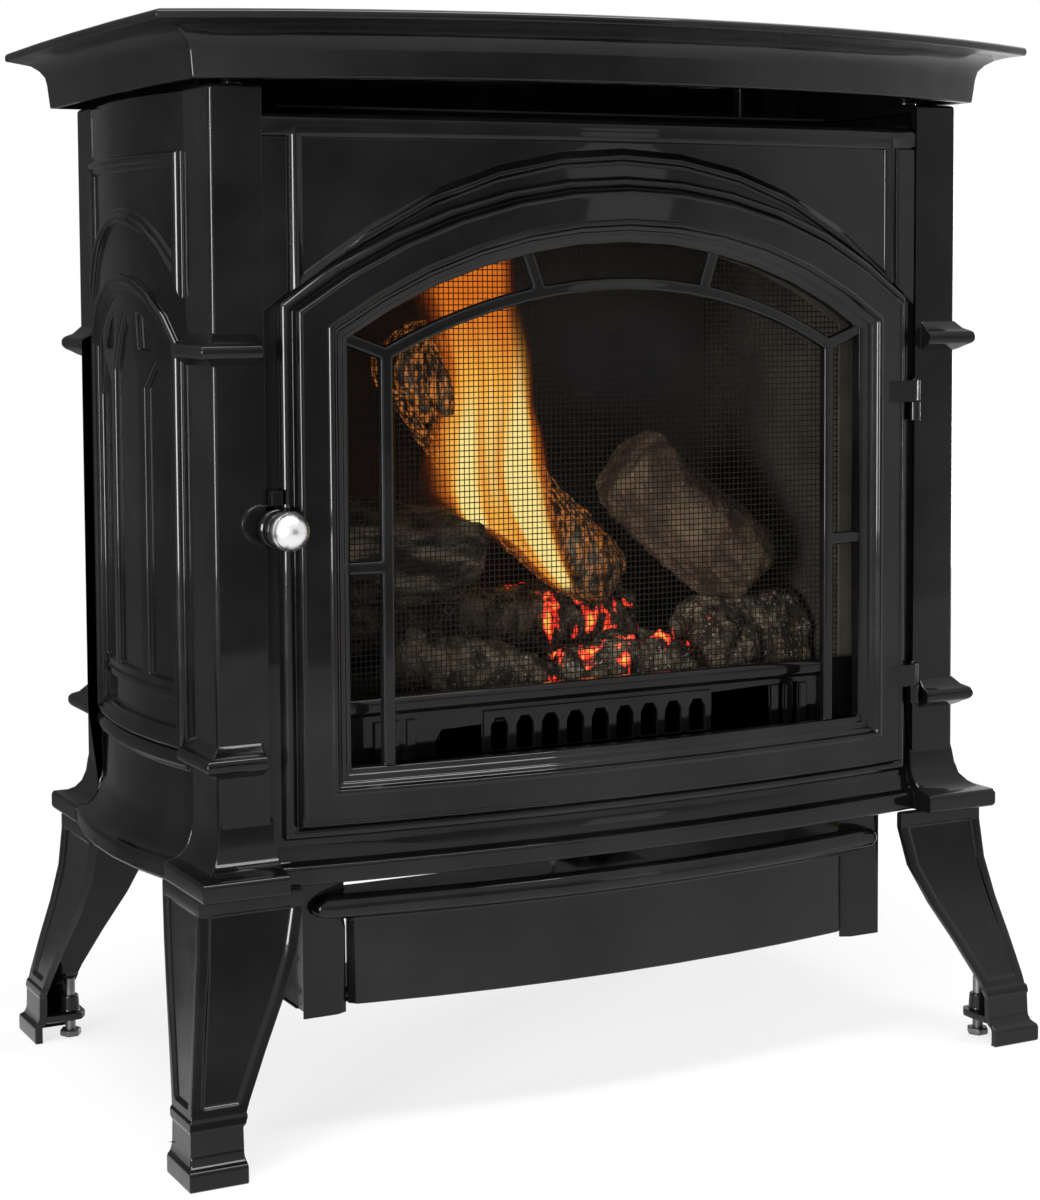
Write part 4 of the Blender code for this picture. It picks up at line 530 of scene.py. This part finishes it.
def crownAt(edge, x):
    # height of the screen's arched top at x, straight between the solid's own points
    for (leftX, leftZ), (rightX, rightZ) in zip(edge, edge[1:]):
        if leftX <= x <= rightX:
            return leftZ + (rightZ - leftZ) * (x - leftX) / max(rightX - leftX, 1e-6)
    return edge[0][1] if x < 0 else edge[-1][1]


def makeScreen(settings=screenSettings):
    low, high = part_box("spark_screen")
    half = high.x - settings["margin"]
    tops = {}
    for vertex in frame["nodes"]["spark_screen"].data.vertices:
        x = round(vertex.co.x, 4)
        tops[x] = max(tops.get(x, 0.0), vertex.co.z)
    edge = sorted((x, z) for x, z in tops.items() if z > (low.z + high.z) / 2)
    bpy.ops.object.select_all(action="DESELECT")
    bpy.ops.mesh.primitive_grid_add(x_subdivisions=settings["columns"], y_subdivisions=1, size=1)
    sheet = bpy.context.active_object
    sheet.name = "spark_mesh"
    for vertex in sheet.data.vertices:
        x = vertex.co.x * 2 * half
        top = crownAt(edge, x)
        z = top if vertex.co.y > 0 else low.z + settings["margin"]
        vertex.co = (x, (low.y + high.y) / 2, z)
    return dress(sheet, "spark_screen", wireMesh)


makeScreen()
print("stage: screen finished")


# Flame: thin curved sheets of light

flameGrid = {"x_subdivisions": 14, "y_subdivisions": 36}
# rows: height, left edge and right edge; y: place in depth; bow: how far the edges lie behind the middle
flameShapes = {
    "flame_body": {"rows": [(0.345, 0.024, 0.036), (0.366, -0.002, 0.035), (0.385, -0.024, 0.032),
                            (0.404, -0.062, 0.029), (0.424, -0.090, 0.026), (0.449, -0.091, 0.021),
                            (0.472, -0.088, 0.014), (0.490, -0.079, 0.006), (0.517, -0.077, 0.002),
                            (0.555, -0.088, -0.004), (0.576, -0.098, -0.006), (0.612, -0.096, -0.006)],
                   "y": 0.004, "bow": 0.010, "seed": 1.3, "strong": 1.15, "soft": 0.58, "ragged": 0.50,
                   "hot": 0.80, "warm": (0.84, 0.50), "top": 0.46, "foot": 0.80, "tip": 0.93},
    "flame_right": {"rows": [(0.346, 0.022, 0.036), (0.372, -0.008, 0.030), (0.391, -0.024, 0.025),
                             (0.410, -0.036, 0.021), (0.428, -0.041, 0.018), (0.446, -0.043, 0.013),
                             (0.471, -0.038, 0.008), (0.486, -0.034, 0.003), (0.530, -0.034, 0.000),
                             (0.570, -0.036, -0.008)],
                    "y": -0.004, "bow": 0.006, "seed": 4.1, "strong": 1.15, "soft": 0.85, "ragged": 0.50,
                    "hot": 1.12, "warm": (1.0, 0.45), "top": 0.60, "foot": 1.0, "tip": 0.45},
    "flame_left": {"rows": [(0.398, -0.060, -0.032), (0.413, -0.074, -0.034), (0.431, -0.080, -0.036),
                            (0.449, -0.080, -0.038), (0.466, -0.077, -0.040), (0.496, -0.072, -0.040),
                            (0.530, -0.068, -0.038)],
                   "y": -0.004, "bow": 0.005, "seed": 8.3, "strong": 1.15, "soft": 0.85, "ragged": 0.45,
                   "hot": 1.06, "warm": (1.0, 0.5), "top": 0.60, "foot": 1.0, "tip": 0.40},
    "flame_lick": {"rows": [(0.350, 0.046, 0.054), (0.361, 0.047, 0.058), (0.373, 0.050, 0.063),
                            (0.382, 0.053, 0.066), (0.400, 0.059, 0.065)],
                   "y": 0.006, "bow": 0.004, "seed": 7.7, "strong": 0.55, "soft": 0.9, "ragged": 0.9,
                   "hot": 0.62, "warm": (1.0, 0.5), "top": 0.6, "foot": 0.8, "tip": 0.4},
}


def rowAt(rows, height):
    for (z, left, right), (nextZ, nextLeft, nextRight) in zip(rows, rows[1:]):
        if height <= nextZ:
            share = (height - z) / (nextZ - z)
            return left + (nextLeft - left) * share, right + (nextRight - right) * share
    return rows[-1][1], rows[-1][2]


def makeFlameSheet(name, spec):
    bpy.ops.object.select_all(action="DESELECT")
    bpy.ops.mesh.primitive_grid_add(**flameGrid, size=1)
    sheet = bpy.context.active_object
    sheet.name = name
    rows = spec["rows"]
    for vertex in sheet.data.vertices:
        height = rows[0][0] + (vertex.co.y + 0.5) * (rows[-1][0] - rows[0][0])
        left, right = rowAt(rows, height)
        across = vertex.co.x * 2
        middle = (left + right) / 2
        half = (right - left) / 2
        vertex.co = (middle + across * half, spec["y"] + spec["bow"] * across ** 2, height)
    bpy.ops.object.shade_smooth()
    sheet.data.materials.append(makeFlame(name + "_light", spec))
    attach(sheet, "stove")
    return sheet


for flameName, spec in flameShapes.items():
    makeFlameSheet(flameName, spec)
print("stage: fire lit")


# Floor, light and camera

# flags: towards, (outer, inner) half angle in degrees, how dark
# lamps: name, place, aim, width, height, power
studio = {"white": 1.0, "fill": 0.34,
          "flags": [((-0.33, 0.94, -0.05), (64, 34), 0.88), ((0.25, -0.96, -0.10), (34, 8), 0.72)],
          "lamps": [("leftFront", (-2.5, -1.5, 0.62), (0.0, 0.0, 0.50), 0.78, 1.1, 88.0),
                    ("rightSide", (2.6, 0.70, 0.62), (0.0, 0.0, 0.50), 0.70, 1.1, 62.0),
                    ("overhead", (-0.3, -0.52, 2.5), (-0.3, 0.0, 0.4), 2.6, 0.9, 90.0),
                    ("softFront", (1.5, -2.8, 0.7), (0.0, 0.0, 0.40), 0.36, 0.8, 0.9)]}


def whiteToCamera(graph, lit, white, share=1.0):
    # the plain background: camera, mirror and see-through rays meet white, or a share of it
    seen = graph.add("ShaderNodeLightPath", out="Is Camera Ray")
    for kind in ("Is Glossy Ray", "Is Transmission Ray"):
        seen = seen.most(graph.add("ShaderNodeLightPath", out=kind))
    mixed = graph.add("ShaderNodeMixShader", None, {0: seen * share, 1: lit, 2: white})
    graph.feed(graph.output.inputs[0], mixed)


def makeWorld(settings=studio):
    world = bpy.data.worlds.new("studio")
    bpy.context.scene.world = world
    world.use_nodes = True
    sky = Graph(world.node_tree, "ShaderNodeOutputWorld")
    ahead = sky.add("ShaderNodeTexCoord", out="Generated")
    level = 1.0
    for direction, (wide, narrow), depth in settings["flags"]:
        # a dark cloth beside the camera's view, which only the mirroring enamel meets
        facing = sky.add("ShaderNodeVectorMath", {"operation": "DOT_PRODUCT"}, {0: ahead, 1: direction}, out=1)
        level = level - facing.ramp(math.cos(math.radians(wide)), math.cos(math.radians(narrow))) * depth
    level = level.most(sky.add("ShaderNodeLightPath", out="Is Camera Ray")) * settings["white"]
    lit = sky.add("ShaderNodeBackground", None, {"Color": (1, 1, 1, 1), "Strength": settings["fill"]})
    white = sky.add("ShaderNodeBackground", None, {"Color": (1, 1, 1, 1), "Strength": level})
    whiteToCamera(sky, lit, white)


floorSettings = {"size": 4.4, "colour": (0.86, 0.86, 0.86), "roughness": 0.7, "specular": 0.2,
                 "fade": (0.45, 1.5), "near": 0.78,
                 "cloth": (0.30, 0.85), "clothTurn": (-0.5, 0.87), "depth": 0.86}


def makeFloor(settings=floorSettings):
    bpy.ops.object.select_all(action="DESELECT")
    bpy.ops.mesh.primitive_plane_add(size=settings["size"], location=(0, 0, 0))
    floor = bpy.context.active_object
    floor.name = "studio_floor"
    finish = Finish("paleFloor", colour=settings["colour"], roughness=settings["roughness"],
                    specular=settings["specular"])
    x, y, z = finish.axes()
    away = (x * x + y * y) ** 0.5
    # the floor behind the left side mirrors as a dark cloth; the camera sees it white
    cloth = (y * settings["clothTurn"][1] + x * settings["clothTurn"][0]).ramp(*settings["cloth"])
    cloth = cloth * (1.0 - finish.add("ShaderNodeLightPath", out="Is Camera Ray"))
    glow = finish.add("ShaderNodeEmission", None,
                      {"Color": (1, 1, 1, 1), "Strength": (1.0 - cloth * settings["depth"]) * studio["white"]})
    share = away.ramp(*settings["fade"], settings["near"], 1.0).most(cloth)
    whiteToCamera(finish, finish.surface, glow, share)
    floor.data.materials.append(finish.material)


def makeLamps(settings=studio):
    for name, place, aim, wide, tall, power in settings["lamps"]:
        lamp = bpy.data.lights.new(name, "AREA")
        lamp.shape = "RECTANGLE"
        lamp.size = wide
        lamp.size_y = tall
        lamp.energy = power
        item = bpy.data.objects.new(name, lamp)
        bpy.context.scene.collection.objects.link(item)
        item.location = place
        item.rotation_euler = (Vector(aim) - Vector(place)).to_track_quat("-Z", "Y").to_euler()


# focal length and optical centre are in pixels of the picture
cameraSettings = {"place": (-0.8601, -1.6487, 0.588), "yaw": 26.818, "pitch": -3.945, "roll": -0.350,
                  "focal": 2472.0, "centre": (503.3, 445.5), "picture": (1040.0, 1200.0), "sensor": 36.0}


def makeCamera(settings=cameraSettings):
    lens = bpy.data.cameras.new("view")
    wide, tall = settings["picture"]
    lens.sensor_width = settings["sensor"]
    lens.sensor_fit = "AUTO"
    lens.lens = settings["focal"] * settings["sensor"] / tall
    lens.shift_x = (wide / 2 - settings["centre"][0]) / tall
    lens.shift_y = (settings["centre"][1] - tall / 2) / tall
    item = bpy.data.objects.new("view", lens)
    bpy.context.scene.collection.objects.link(item)
    yaw, pitch, roll = (math.radians(settings[key]) for key in ("yaw", "pitch", "roll"))
    ahead = Vector((math.sin(yaw) * math.cos(pitch), math.cos(yaw) * math.cos(pitch), math.sin(pitch)))
    level = Vector((math.cos(yaw), -math.sin(yaw), 0.0))
    rise = level.cross(ahead)
    right = level * math.cos(roll) + rise * math.sin(roll)
    up = rise * math.cos(roll) - level * math.sin(roll)
    item.matrix_world = Matrix((
        (right.x, up.x, -ahead.x, settings["place"][0]),
        (right.y, up.y, -ahead.y, settings["place"][1]),
        (right.z, up.z, -ahead.z, settings["place"][2]),
        (0, 0, 0, 1)))
    bpy.context.scene.camera = item


makeWorld()
makeFloor()
makeLamps()
makeCamera()
bpy.context.scene.view_settings.view_transform = "Standard"
print("stage: floor, light and camera set")
